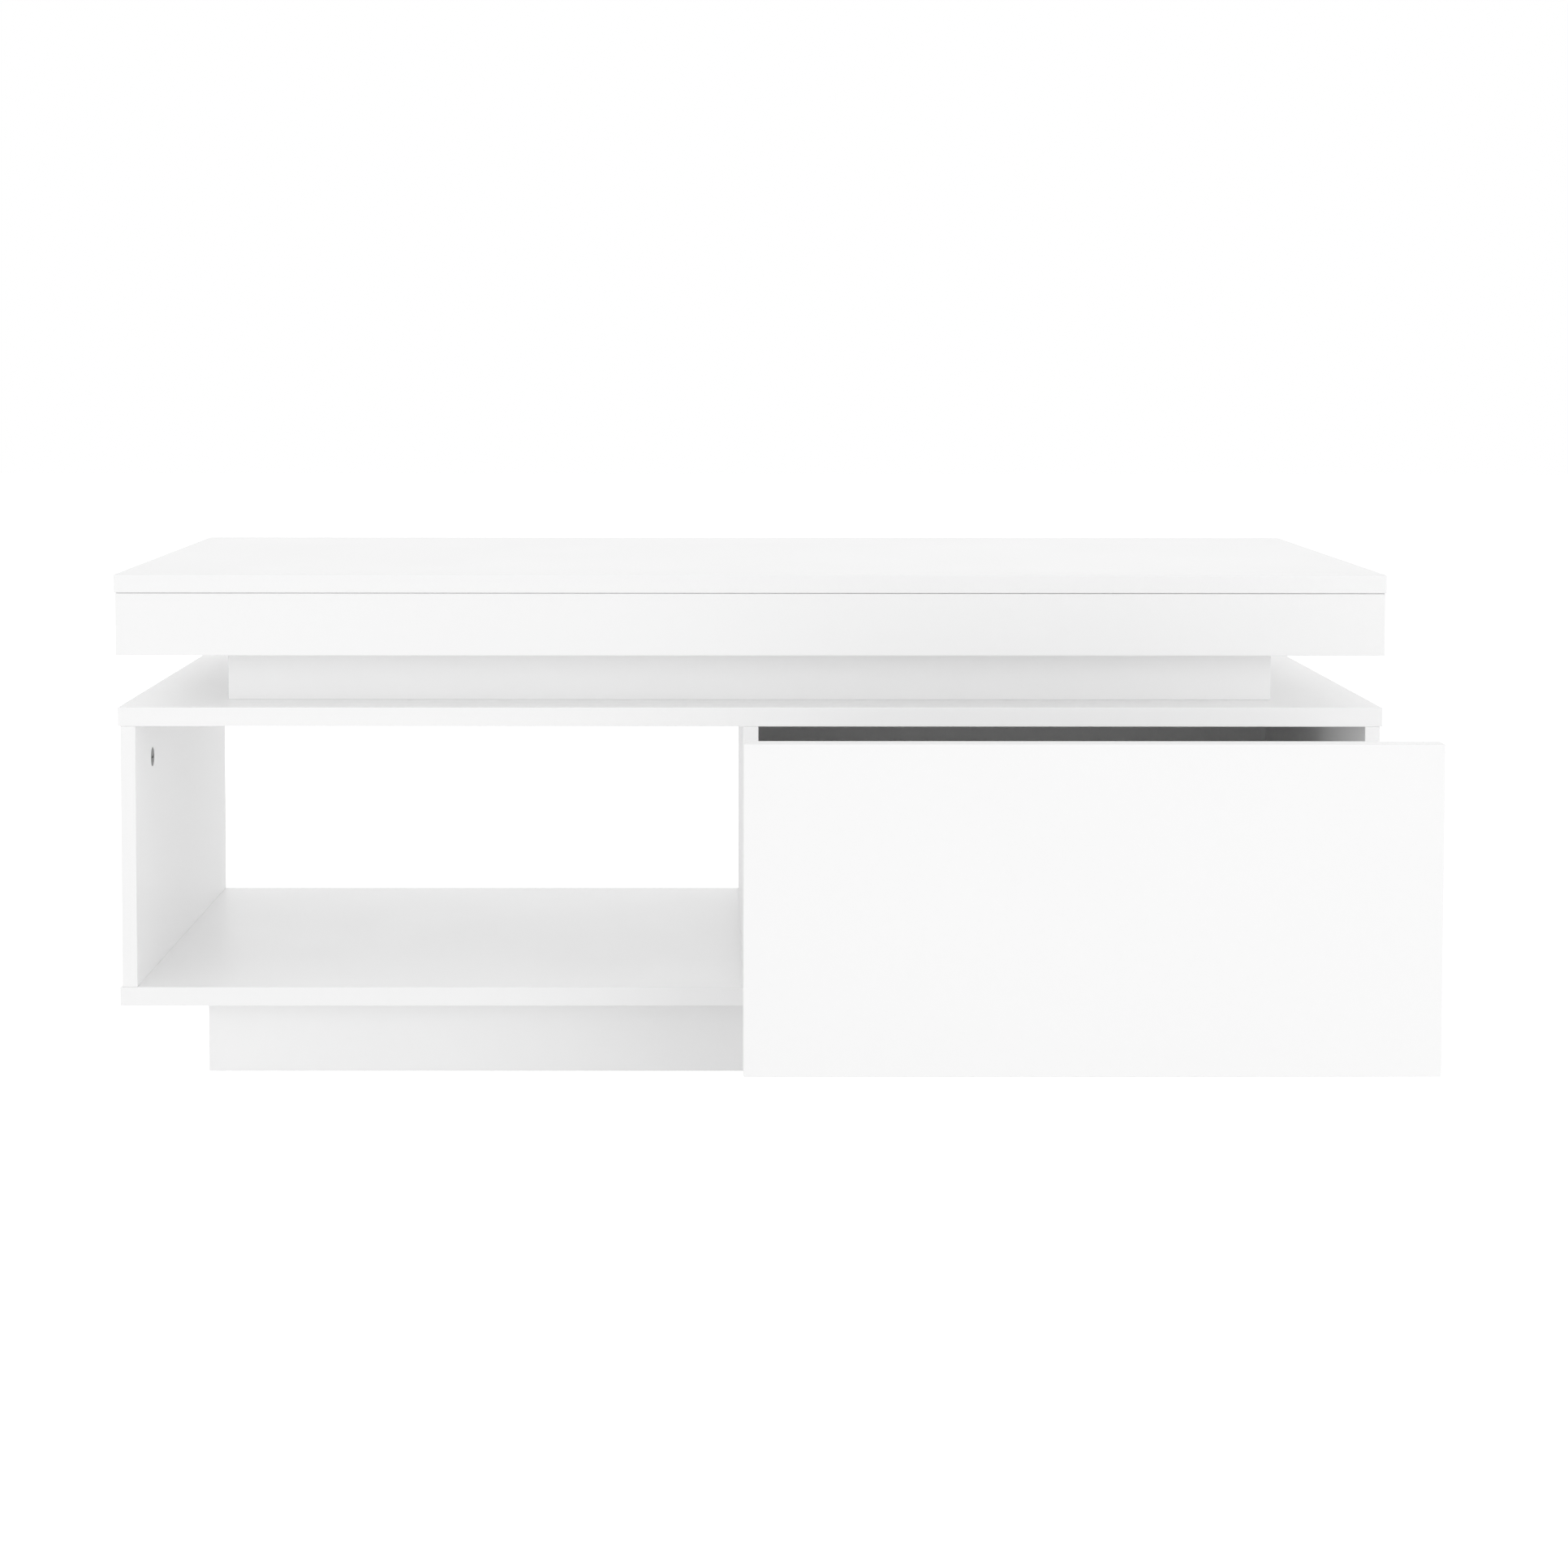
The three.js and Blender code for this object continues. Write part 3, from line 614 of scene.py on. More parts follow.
def plate(loops, low, high, axis="Z", edge=0.5 * MM, steps=3, pockets=(), pocket_edge=None):
    """Outline and through holes carried from low to high; each pocket is (outline, floor height)."""
    pocket_edge = pocket_edge or edge
    parts, triangles, tops, bottoms, top_at, bottom_at, start = [], [], [], [], [], [], 0
    quads, band = [], []
    bored = [(loop, None) for loop in loops] + list(pockets)
    for (points, normals), floor_height in bored:
        through = floor_height is None
        bottom, rounding = (low, edge) if through else (floor_height, pocket_edge)
        draw_in, rise = edge_profile(bottom, high, rounding, steps, through)
        flat = points[None] - draw_in[:, None, None] * normals[None]
        height = np.broadcast_to(rise[:, None, None], flat.shape[:2] + (1,))
        rings, count = flat.shape[:2]
        parts.append(np.concatenate([flat, height], axis=2).reshape(-1, 3))
        band.append(np.repeat(1 - np.clip(draw_in / rounding, 0, 1), count))
        quads.append(between_rings(rings, count) + start)
        tops.append(flat[-1])
        top_at.append(start + (rings - 1) * count)
        if through:
            bottoms.append(flat[0])
            bottom_at.append(start)
        else:
            triangles.append(fill([flat[0]], [start]))
        start += rings * count
    triangles += [fill(tops, top_at), fill(bottoms, bottom_at)[:, ::-1]]
    points = np.vstack(parts)[:, AXES[axis]]
    return shell(points, np.vstack(quads), np.vstack(triangles), np.concatenate(band))


trial = plate([rounded(rectangle((0, 0), (0.1, 0.05)), 0.001), circle((0.03, 0.02), 0.01, hole=True)],
              0, 0.015, pockets=[(circle((0.07, 0.02), 0.01, hole=True), 0.005)])
print("trial plate:", len(trial["points"]), "points,", leaks(trial), "leaks")

# %% [markdown]
# ## Turned, wound and folded shapes
#
# A pin or a bumper is turned: a profile swept round an axis. A spring is wound: a small circle
# swept along a path. A bracket is folded: it is cut flat, with its holes, and then the flange is
# bent up round a small radius. The same three ideas make the same three kinds of shape here.

# %% Lathe, winding and folding
def softened(corners, radius, steps=3):
    """Open profile whose inner corners are rounded in the way of an outline; its ends stay put."""
    points, _ = rounded(corners, radius, steps, support=0.12 * MM)
    per_corner = steps + 3
    inner = points.reshape(-1, per_corner, 2)[1:-1].reshape(-1, 2)
    return np.vstack([corners[0], inner, corners[-1]])


def end_fans(rings, count):
    """Triangles that close stacked rings: the point after the last ring closes the first ring, and
    the point after that one closes the last."""
    ring = np.arange(count)
    onward, last, pole = (ring + 1) % count, (rings - 1) * count, rings * count
    first_fan = np.stack([onward, ring, np.full(count, pole)], axis=1)
    last_fan = np.stack([last + ring, last + onward, np.full(count, pole + 1)], axis=1)
    return np.vstack([first_fan, last_fan])


def swept_rings(along, radius, count):
    """Rings (radius cos t, radius sin t, along) of count points, one for each profile point."""
    angle = np.arange(count) * 2 * np.pi / count
    b, c = radius[:, None] * np.cos(angle), radius[:, None] * np.sin(angle)
    return np.stack([b, c, np.broadcast_to(along[:, None], b.shape)], axis=2).reshape(-1, 3)


def turned(profile, centre, axis="X", count=28):
    """Profile of (along, radius) swept round an axis: centre + along a + radius (cos t b + sin t c).

    A profile that starts and ends on the axis gets one point at each pole."""
    along, radius = np.asarray(profile, float)[1:-1].T
    ends = np.array([[0, 0, profile[0][0]], [0, 0, profile[-1][0]]], float)
    points = np.vstack([swept_rings(along, radius, count), ends])[:, AXES[axis]] + np.asarray(centre, float)
    return shell(points, between_rings(len(along), count), end_fans(len(along), count))


def pipe(profile, centre, axis="X", count=40):
    """Closed profile of (along, radius), off the axis, swept round it: a tube with a real bore."""
    along, radius = np.asarray(profile, float).T
    points = swept_rings(along, radius, count)[:, AXES[axis]] + np.asarray(centre, float)
    return shell(points, between_rings(len(along), count, close_rings=True))


def wound(path, across, radius, count=10):
    """Round wire along a path: path + radius (cos t u + sin t v), with u across it and v = T x u."""
    tangent = np.gradient(path, axis=0)
    tangent /= np.linalg.norm(tangent, axis=1, keepdims=True)
    u = across - np.sum(across * tangent, axis=1, keepdims=True) * tangent
    u /= np.linalg.norm(u, axis=1, keepdims=True)
    v = np.cross(tangent, u)
    angle = (np.arange(count) * 2 * np.pi / count)[None, :, None]
    rings = path[:, None] + radius * (np.cos(angle) * u[:, None] + np.sin(angle) * v[:, None])
    points = np.vstack([rings.reshape(-1, 3), path[:1], path[-1:]])
    return shell(points, between_rings(len(path), count), end_fans(len(path), count))


def scored(flat, places):
    """The flat shell with an extra line of points across it at each place along its first axis."""
    work = bmesh.new()
    sheet = bpy.data.meshes.new("score_work")
    sheet.from_pydata(flat["points"].tolist(), [], flat["quads"].tolist() + flat["triangles"].tolist())
    work.from_mesh(sheet)
    for place in places:
        everything = work.verts[:] + work.edges[:] + work.faces[:]
        bmesh.ops.bisect_plane(work, geom=everything, dist=1e-7, plane_co=(place, 0, 0), plane_no=(1, 0, 0))
    bmesh.ops.triangulate(work, faces=work.faces[:])
    work.to_mesh(sheet)
    work.free()
    points = np.empty(len(sheet.vertices) * 3)
    sheet.vertices.foreach_get("co", points)
    triangles = np.empty(len(sheet.polygons) * 3, dtype=np.int32)
    sheet.polygons.foreach_get("vertices", triangles)
    bpy.data.meshes.remove(sheet)
    return shell(points, np.zeros((0, 4), int), triangles)


def folded(flat, start, radius, steps=6):
    """A right-angled fold that starts at a place along the first axis and turns towards +third.

    With d the distance past the start, clipped to the length of the bend, t = d / radius and h the
    height over the sheet's middle: first axis = start + (radius - h) sin t + rest cos t and
    third axis = radius - (radius - h) cos t + rest sin t."""
    length = radius * np.pi / 2
    lined = scored(flat, start + length * np.linspace(0, 1, steps + 1))
    a, b, h = lined["points"].T
    bend = np.clip(a - start, 0, length)
    rest = np.maximum(a - start - length, 0)
    t = bend / radius
    new_a = np.where(a < start, a, start + (radius - h) * np.sin(t) + rest * np.cos(t))
    new_h = np.where(a < start, h, radius - (radius - h) * np.cos(t) + rest * np.sin(t))
    return {**lined, "points": np.stack([new_a, b, new_h], axis=1)}


print("lathe, winding and folding ready")

# %% [markdown]
# ## The boards of the cabinet
#
# Each board's box is read from the frame, so a board can't end up anywhere but in its place. Its
# thickness runs along the shortest side of the box. The rounding is under a millimetre, as on any
# banded board, and where two boards meet flush, their two roundings make the fine line that
# shows where one board ends and the next begins.

# %% Board helper
EDGE = 0.5 * MM
CORNER = 0.8 * MM


def board_shell(node, axis=None, edge=EDGE, corner=CORNER, pockets=()):
    """The plate that fills a frame node's box, its thickness along the box's shortest side."""
    low, high = (np.array(corner_point) for corner_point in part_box(node))
    axis = axis or "XYZ"[int(np.argmin(high - low))]
    first, second, third = np.argsort(AXES[axis])
    outline = rounded(rectangle((low[first], low[second]), (high[first], high[second])), corner)
    return plate([outline], low[third], high[third], axis, edge, pockets=pockets)


def white(node, made, body="carcass", suffix="faced"):
    """A shell in white board, in the place of a frame node."""
    make_piece(node, suffix, made, faced_board, body)


def faced(node, body="carcass", **shape):
    """A plain white board that fills the box of a frame node."""
    white(node, board_shell(node, **shape), body)


print("board edges rounded by", EDGE / MM, "mm")


# %% Plinth, cabinet and neck
for side in ("front", "back", "left", "right"):
    faced(f"plinth_{side}")
    faced(f"neck_{side}")
for node in ("plinth_middle_rail", "bottom_board", "mid_board", "centre_partition",
             "drawer_bay_back_panel"):
    faced(node)
print("cabinet, pieces so far:", made_count["pieces"])

# %% [markdown]
# ## Side panels and their cam locks
#
# The side panels hang on the middle board by cam locks: zinc discs let into round pockets in the
# inner faces, turned with a screwdriver in a cross slot. The pockets are real holes here, a third
# of a millimetre wider than the discs, because that thin dark ring is what makes a cam look let
# in rather than stuck on. The right side is the left side seen in a mirror.

# %% Side panels and cams
CAM_PLACES = {"front": (-168 * MM, 253 * MM), "rear": (150 * MM, 253 * MM)}
CAM_R, CAM_DEPTH, CAM_CLEAR = 7.5 * MM, 9.5 * MM, 0.3 * MM
SLOT_HALF_LONG, SLOT_HALF_WIDE, SLOT_DEPTH = 4.2 * MM, 0.9 * MM, 2.5 * MM


def cross(centre, long, thin):
    """Corners of a cross-shaped slot, clockwise: one arm's three corners, turned by quarter turns."""
    arm = np.array([(-thin, long), (thin, long), (thin, thin)])
    quarter_turn = np.array([[0, -1], [1, 0]])
    turns = [np.linalg.matrix_power(quarter_turn, k) for k in range(4)]
    return np.vstack([arm @ turn for turn in turns]) + np.asarray(centre)


def left_side_panel():
    """The left panel: a board whose inner face has a round pocket for each cam."""
    low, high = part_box("left_side_panel")
    pocket_floor = high.x - CAM_DEPTH - CAM_CLEAR
    rims = [circle(place, CAM_R + CAM_CLEAR, 40, hole=True) for place in CAM_PLACES.values()]
    pockets = [(rim, pocket_floor) for rim in rims]
    outline = rounded(rectangle((low.y, low.z), (high.y, high.z)), CORNER)
    return plate([outline], low.x, high.x, "X", EDGE, pockets=pockets)


def left_cam(place, face):
    """A cam disc, its face flush with the panel's, with a cross slot cut into it."""
    slot_path = rounded(cross(place, SLOT_HALF_LONG, SLOT_HALF_WIDE), 0.2 * MM, 2, support=0.08 * MM)
    return plate([circle(place, CAM_R, 48)], face - CAM_DEPTH, face, "X", 0.35 * MM,
                 pockets=[(slot_path, face - SLOT_DEPTH)], pocket_edge=0.09 * MM)


left_panel, panel_face = left_side_panel(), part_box("left_side_panel")[1].x
white("left_side_panel", left_panel)
white("right_side_panel", mirrored(left_panel))
for end, place in CAM_PLACES.items():
    cam = left_cam(place, panel_face)
    make_piece(f"cam_lock_left_{end}", "cast", cam, cast_zinc, "carcass")
    make_piece(f"cam_lock_right_{end}", "cast", mirrored(cam), cast_zinc, "carcass")
print("cam pockets cut, pieces so far:", made_count["pieces"])

# %% [markdown]
# ## Apron, tray and lid
#
# The apron is a frame on edge, the tray is its floor, and the lid lies on four rubber bumpers that
# stand in blind holes in the apron's top edge. The bumpers leave a gap of a few tenths of a
# millimetre, which is the fine seam that runs round under the lid. The tray is cut out over the
# neck, so it is a plate with a hole.

# %% Apron, tray, lid and bumpers
BUMPER_R, BUMPER_CLEAR = 4 * MM, 0.3 * MM


def bumper_boxes(end):
    """The frame boxes of the two bumpers at one end."""
    return [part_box(f"lid_bumper_{side}_{end}") for side in ("left", "right")]


def apron_board(node, end):
    """An apron board with a blind hole for each bumper, drilled down into its top edge."""
    holes = []
    for low, high in bumper_boxes(end):
        middle = ((low.x + high.x) / 2, (low.y + high.y) / 2)
        holes.append((circle(middle, BUMPER_R + BUMPER_CLEAR, 32, hole=True), low.z - BUMPER_CLEAR))
    return board_shell(node, axis="Z", edge=0.5 * MM, pockets=holes)


for node, end in (("apron_front", "front"), ("apron_back", "rear")):
    white(node, apron_board(node, end))
faced("apron_left")
faced("apron_right")
faced("lid_board", body="lid", edge=0.9 * MM, corner=1.2 * MM)


def bumper(low, high):
    """A short turned peg with a slightly domed top."""
    middle = ((low.x + high.x) / 2, (low.y + high.y) / 2, 0)
    corners = [(high.z, 0), (high.z - 0.1 * MM, BUMPER_R), (low.z, BUMPER_R), (low.z, 0)]
    return turned(softened(corners, 0.35 * MM), middle, "Z", 32)


for end in ("front", "rear"):
    for side, (low, high) in zip(("left", "right"), bumper_boxes(end)):
        made = bumper(low, high)
        make_piece(f"lid_bumper_{side}_{end}", "moulded", made, pale_rubber, "carcass")

low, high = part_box("tray_board")
neck_low, neck_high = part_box("neck_front")[0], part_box("neck_back")[1]
NECK_BOARD = 15 * MM
tray_outline = rounded(rectangle((low.x, low.y), (high.x, high.y)), CORNER)
cut_low = (neck_low.x + NECK_BOARD, neck_low.y + NECK_BOARD)
cut_high = (neck_high.x - NECK_BOARD, neck_high.y - NECK_BOARD)
tray_cut = rounded(rectangle(cut_low, cut_high, hole=True), 1.0 * MM)
white("tray_board", plate([tray_outline, tray_cut], low.z, high.z, "Z", EDGE))
print("upper part, pieces so far:", made_count["pieces"])

# %% [markdown]
# ## The lift
#
# Under each end of the lid is a four-bar linkage: two arms of the same length, a bracket screwed
# to the middle board below and one screwed under the lid above, so the lid swings up and forward
# and stays level. The brackets are sheet steel. Each is drawn as the flat blank that the press
# cuts, with its holes, and then folded by the formula above, which leaves the true round at the
# bend. The right side is drawn, and the left side is its mirror image.

# %% Lift dimensions
SHEET = 2 * MM
BEND = 2.5 * MM
PLATE_MIDDLE = 393 * MM
SHEET_EDGE = 0.3 * MM
PIVOT_HOLE = 4.06 * MM
SCREW_HOLE = 2.6 * MM
BASE_PIVOTS = {"front": (-140 * MM, 332 * MM), "rear": (-80 * MM, 332 * MM)}
ARM_REACH = (230 * MM * math.cos(math.radians(10)), 230 * MM * math.sin(math.radians(10)))
TOP_PIVOTS = {end: (y + ARM_REACH[0], z + ARM_REACH[1]) for end, (y, z) in BASE_PIVOTS.items()}
TUBE_AT = (BASE_PIVOTS["rear"][0] + 0.84 * ARM_REACH[0], BASE_PIVOTS["rear"][1] + 0.84 * ARM_REACH[1])
FOLD_START = PLATE_MIDDLE - BEND
FOLD_LENGTH = BEND * math.pi / 2
print("upper pivots in mm:", {end: [round(v / MM, 1) for v in at] for end, at in TOP_PIVOTS.items()})


# %% Folded brackets
def blank_place(rise):
    """Where a point of the upright flange lies on the blank, from its height over the foot's middle."""
    return FOLD_START + FOLD_LENGTH + rise - BEND


def bracket(foot_end, foot_middle, upright, holes, screws, up):
    """A bracket from its upright's (y, z) outline: the blank with its holes, folded, put in place."""
    rise = [(y, (z - foot_middle) * up) for y, z in upright]
    first_y, last_y = rise[0][0], rise[-1][0]
    corners = [(foot_end, first_y)] + [(blank_place(r), y) for y, r in rise] + [(foot_end, last_y)]
    corners = np.array(corners)
    if runs_clockwise(corners):
        corners = corners[::-1]
    loops = [rounded(corners, 1.6 * MM, 3, support=0.25 * MM)]
    for (y, z), radius in holes:
        loops.append(circle((blank_place((z - foot_middle) * up), y), radius, 28, hole=True))
    for x, y in screws:
        loops.append(circle((x, y), SCREW_HOLE, 20, hole=True))
    blank = plate(loops, -SHEET / 2, SHEET / 2, "Z", SHEET_EDGE, steps=2)
    made = folded(blank, FOLD_START, BEND)
    made["points"] = made["points"] * (1, 1, up) + (0, 0, foot_middle)
    return outward(made)


def screw(x, y, z, up=1, head=4.2 * MM, tall=2.1 * MM):
    """A pan-head screw standing on z: a round head with a rounded rim and a cross recess."""
    recess = rounded(cross((x, y), 2.3 * MM, 0.55 * MM), 0.12 * MM, 2, support=0.06 * MM)
    made = plate([circle((x, y), head, 28)], 0, tall, "Z", 0.9 * MM, 4,
                 pockets=[(recess, tall - 1.2 * MM)], pocket_edge=0.05 * MM)
    made["points"] = made["points"] * (1, 1, up) + (0, 0, z)
    return outward(made)


low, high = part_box("lift_base_bracket_right")
front_y, back_y, foot_z = low.y, high.y, low.z
base_upright = [(front_y, foot_z + 14 * MM), (-154 * MM, 342 * MM), (-148 * MM, 346 * MM),
                (-72 * MM, 346 * MM), (-67 * MM, 342 * MM), (back_y, foot_z + 12 * MM)]
base_holes = [(BASE_PIVOTS["front"], PIVOT_HOLE), (BASE_PIVOTS["rear"], PIVOT_HOLE),
              ((-110 * MM, 324 * MM), 5 * MM)]
base_screws = [(378 * MM, y) for y in (-145 * MM, -102 * MM, -58 * MM)]
base_bracket = bracket(low.x, foot_z + SHEET / 2, base_upright, base_holes, base_screws, 1)
STUD_AT = (-58 * MM, 310 * MM)
STUD_R, STUD_OUTER, STUD_INNER = 2.5 * MM, 392.4 * MM, 376 * MM
stud_corners = [(STUD_OUTER, 0), (STUD_OUTER, STUD_R), (STUD_INNER, STUD_R), (STUD_INNER, 0)]
stud = outward(turned(softened(stud_corners, 0.4 * MM), (0, *STUD_AT), "X", 20))
base_heads = [screw(x, y, foot_z + SHEET) for x, y in base_screws]
base_bracket = joined(base_bracket, stud, *base_heads)

low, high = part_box("lift_top_bracket_right")
front_y, back_y, foot_z = low.y, high.y, high.z
drop = TOP_PIVOTS["front"][1] - 12 * MM
fy, ry = TOP_PIVOTS["front"][0], TOP_PIVOTS["rear"][0]
top_upright = [(front_y, foot_z - 6 * MM), (fy - 9 * MM, drop + 3 * MM), (fy, drop), (ry, drop),
               (ry + 9 * MM, drop + 3 * MM), (back_y, foot_z - 6 * MM)]
top_holes = [(TOP_PIVOTS["front"], PIVOT_HOLE), (TOP_PIVOTS["rear"], PIVOT_HOLE)]
top_screws = [(376 * MM, y) for y in (front_y + 11 * MM, (front_y + back_y) / 2, back_y - 11 * MM)]
top_bracket = bracket(low.x, foot_z - SHEET / 2, top_upright, top_holes, top_screws, -1)
top_heads = [screw(x, y, foot_z - SHEET, -1) for x, y in top_screws]
top_bracket = joined(top_bracket, *top_heads)

make_pair("lift_base_bracket", "folded", base_bracket, plated_bracket, "carcass")
make_pair("lift_top_bracket", "folded", top_bracket, plated_bracket, "lid")
print("brackets folded, triangles in the base one:", len(all_triangles(base_bracket)))

# %% [markdown]
# ## Arms, cross tube and rivets
#
# The arms are flat bars with round ends. A bar's outline is a rectangle, as long as the arm and
# its two end radii, whose corners are rounded by almost half its width. The cross tube ties the
# two rear arms together. Its wall is a closed profile turned round an axis, so it has a real
# bore. Rivets have a low domed head, and the dome is a quarter of an ellipse.

# %% Arms and tube
ARM_HALF = 10 * MM


def arm(start, end, holes, box):
    """A flat bar from pivot to pivot with round ends, between the low and high x of its box."""
    a, b = np.array(start), np.array(end)
    along = (b - a) / np.linalg.norm(b - a)
    across = np.array([-along[1], along[0]])
    reach, half = ARM_HALF * along, ARM_HALF * across
    corners = [a - reach - half, b + reach - half, b + reach + half, a - reach + half]
    loops = [rounded(corners, ARM_HALF * 0.995, 10, support=0.02 * MM)]
    loops += [circle(at, radius, 36, hole=True) for at, radius in holes]
    return plate(loops, box[0].x, box[1].x, "X", 0.4 * MM)


rear_holes = [(BASE_PIVOTS["rear"], PIVOT_HOLE), (TOP_PIVOTS["rear"], PIVOT_HOLE), (TUBE_AT, 8.15 * MM)]
front_holes = [(BASE_PIVOTS["front"], PIVOT_HOLE), (TOP_PIVOTS["front"], 4.16 * MM)]
rear_arm = arm(BASE_PIVOTS["rear"], TOP_PIVOTS["rear"], rear_holes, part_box("rear_arm_right"))
front_arm = arm(BASE_PIVOTS["front"], TOP_PIVOTS["front"], front_holes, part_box("front_arm_right"))
make_pair("rear_arm", "coated", rear_arm, black_powder, "rear_arms")
make_pair("front_arm", "coated", front_arm, black_powder, "front_arms")

low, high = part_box("sync_tube")
tube_section = [(low.x, 6.8 * MM), (low.x, 8 * MM), (high.x, 8 * MM), (high.x, 6.8 * MM)]
tube_profile, _ = rounded(tube_section, 0.35 * MM, 3, support=0.2 * MM)
tube = pipe(tube_profile, (0, *TUBE_AT), "X", 48)
make_piece("sync_tube", "coated", tube, black_powder, "rear_arms")
print("arms and tube made, pieces so far:", made_count["pieces"])

# %% Rivets
RIVET_R, HEAD_R, HEAD_T = 4 * MM, 7 * MM, 2.4 * MM


def dome(base, tip):
    """A rivet head's profile from its tip on the axis to its rim: r = R sin t, x from tip to base."""
    t = np.linspace(0, np.pi / 2, 8)
    rim = base + (tip - base) * 0.3
    return np.stack([rim + (tip - rim) * np.cos(t), HEAD_R * np.sin(t)], axis=1)


def rivet(box, at, inner_head, outer_head):
    """A pin between the low and high x of its box, with a domed head at each end that has one."""
    low_x, high_x = box[0].x, box[1].x
    outer, inner = high_x - HEAD_T, low_x + HEAD_T
    outer_end = np.vstack([dome(outer, high_x), [(outer, HEAD_R)], [(outer, RIVET_R)]])
    outer_flush = np.array([(high_x, 0), (high_x, RIVET_R - 0.3 * MM), (high_x - 0.3 * MM, RIVET_R)])
    inner_end = np.vstack([[(inner, RIVET_R)], [(inner, HEAD_R)], dome(inner, low_x)[::-1]])
    inner_flush = np.array([(low_x + 0.3 * MM, RIVET_R), (low_x, RIVET_R - 0.3 * MM), (low_x, 0)])
    ends = [outer_end if outer_head else outer_flush, inner_end if inner_head else inner_flush]
    return outward(turned(np.vstack(ends), (0, *at), "X", 32))


rivets = {
    "base_pin_front": (BASE_PIVOTS["front"], True, True, "carcass"),
    "base_pin_rear": (BASE_PIVOTS["rear"], True, False, "rear_arms"),
    "top_pin_front": (TOP_PIVOTS["front"], False, True, "lid"),
    "top_pin_rear": (TOP_PIVOTS["rear"], True, True, "lid"),
}
for name, (at, inner_head, outer_head, body) in rivets.items():
    pin = rivet(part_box(f"{name}_right"), at, inner_head, outer_head)
    make_pair(name, "turned", pin, plated_bracket, body)
print("rivets set, pieces so far:", made_count["pieces"])

# %% [markdown]
# ## Torsion springs
#
# A torsion spring round each rear pivot pin takes most of the lid's weight. Its wire makes four
# turns and leaves the coil along a tangent as a straight leg, which bears on a stud of the base
# bracket. The path is written out as one array: a helix with angle t, then a straight run. The
# vector that points out of the coil's axis serves as the wire's own side direction, so the wire
# doesn't twist.

# %% Springs
WIRE_R, COIL_R, COIL_TURNS, LEG = 1.1 * MM, 9 * MM, 4, 33 * MM
STUD_GAP = 0.1 * MM
to_stud = (STUD_AT[0] - BASE_PIVOTS["rear"][0], STUD_AT[1] - BASE_PIVOTS["rear"][1])
stud_side = COIL_R + WIRE_R + STUD_R + STUD_GAP
LEG_LEAN = math.atan2(to_stud[1], to_stud[0]) + math.asin(stud_side / math.hypot(*to_stud))
print("the spring's leg leans", round(math.degrees(LEG_LEAN), 1), "degrees")


def spring_path(box):
    """Helix (x, y, z) = (x0 + pitch t, R cos t, R sin t) about the pin, then a leg along the tangent."""
    y, z = BASE_PIVOTS["rear"]
    x0, x1 = box[0].x + WIRE_R, box[1].x - WIRE_R
    t = np.linspace(-np.pi / 2, (2 * COIL_TURNS - 0.5) * np.pi + LEG_LEAN, 36 * COIL_TURNS + 1)
    share = (t - t[0]) / (t[-1] - t[0])
    coil = np.stack([x0 + (x1 - x0) * share, y + COIL_R * np.cos(t), z + COIL_R * np.sin(t)], axis=1)
    out = np.stack([np.zeros_like(t), np.cos(t), np.sin(t)], axis=1)
    run = np.linspace(0.04, 1, 8)[:, None] * LEG
    leg = coil[-1] + run * np.array([0, -math.sin(t[-1]), math.cos(t[-1])])
    return np.vstack([coil, leg]), np.vstack([out, np.repeat(out[-1:], len(leg), axis=0)])


wire_path, wire_side = spring_path(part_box("lift_spring_right"))
spring = outward(wound(wire_path, wire_side, WIRE_R))
make_pair("lift_spring", "wound", spring, oiled_wire, "carcass")
print("springs wound, pieces so far:", made_count["pieces"])

# %% [markdown]
# ## The drawer
#
# The drawer is a box of four boards behind a wider front. The front is thicker than the sides and
# hangs a little below the cabinet, and that overhanging lower edge is what the fingers pull,
# since there is no handle. The bottom is a thin sheet that slides into a groove in each side, so
# the sides are drawn as a section with a notch and carried along the drawer's length.

# %% Drawer boards
faced("drawer_front", body="drawer", edge=0.8 * MM, corner=1.1 * MM)
faced("drawer_back", body="drawer")

GROOVE_DEPTH = 6 * MM
GROOVE_Z = (109.85 * MM, 115.15 * MM)


def drawer_side():
    """The left side: its section in (z, x) with the bottom's groove, carried along Y."""
    low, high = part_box("drawer_side_left")
    bed = high.x - GROOVE_DEPTH
    section = [(low.z, low.x), (high.z, low.x), (high.z, high.x), (GROOVE_Z[1], high.x),
               (GROOVE_Z[1], bed), (GROOVE_Z[0], bed), (GROOVE_Z[0], high.x), (low.z, high.x)]
    return plate([rounded(section, 0.5 * MM, support=0.2 * MM)], low.y, high.y, "Y", 0.25 * MM, steps=2)


left_side = drawer_side()
low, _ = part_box("drawer_side_left")
_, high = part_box("drawer_side_right")
right_side = mirrored(left_side)
right_side["points"][:, 0] += low.x + high.x
white("drawer_side_left", left_side, "drawer")
white("drawer_side_right", right_side, "drawer")
white("drawer_bottom", board_shell("drawer_bottom", edge=0.3 * MM, corner=0.5 * MM), "drawer", "sheet")
print("drawer, pieces so far:", made_count["pieces"])

# %% [markdown]
# ## Drawer slides
#
# Each side has a ball-bearing slide of three nested channels: the outer one is screwed to the
# bay wall, the inner one to the drawer, and the middle one runs between them, half as far as the
# drawer. A channel is rolled from strip, so its section is an outline with rounded folds, carried
# along the slide's length. Two rows of balls sit between each pair of channels.

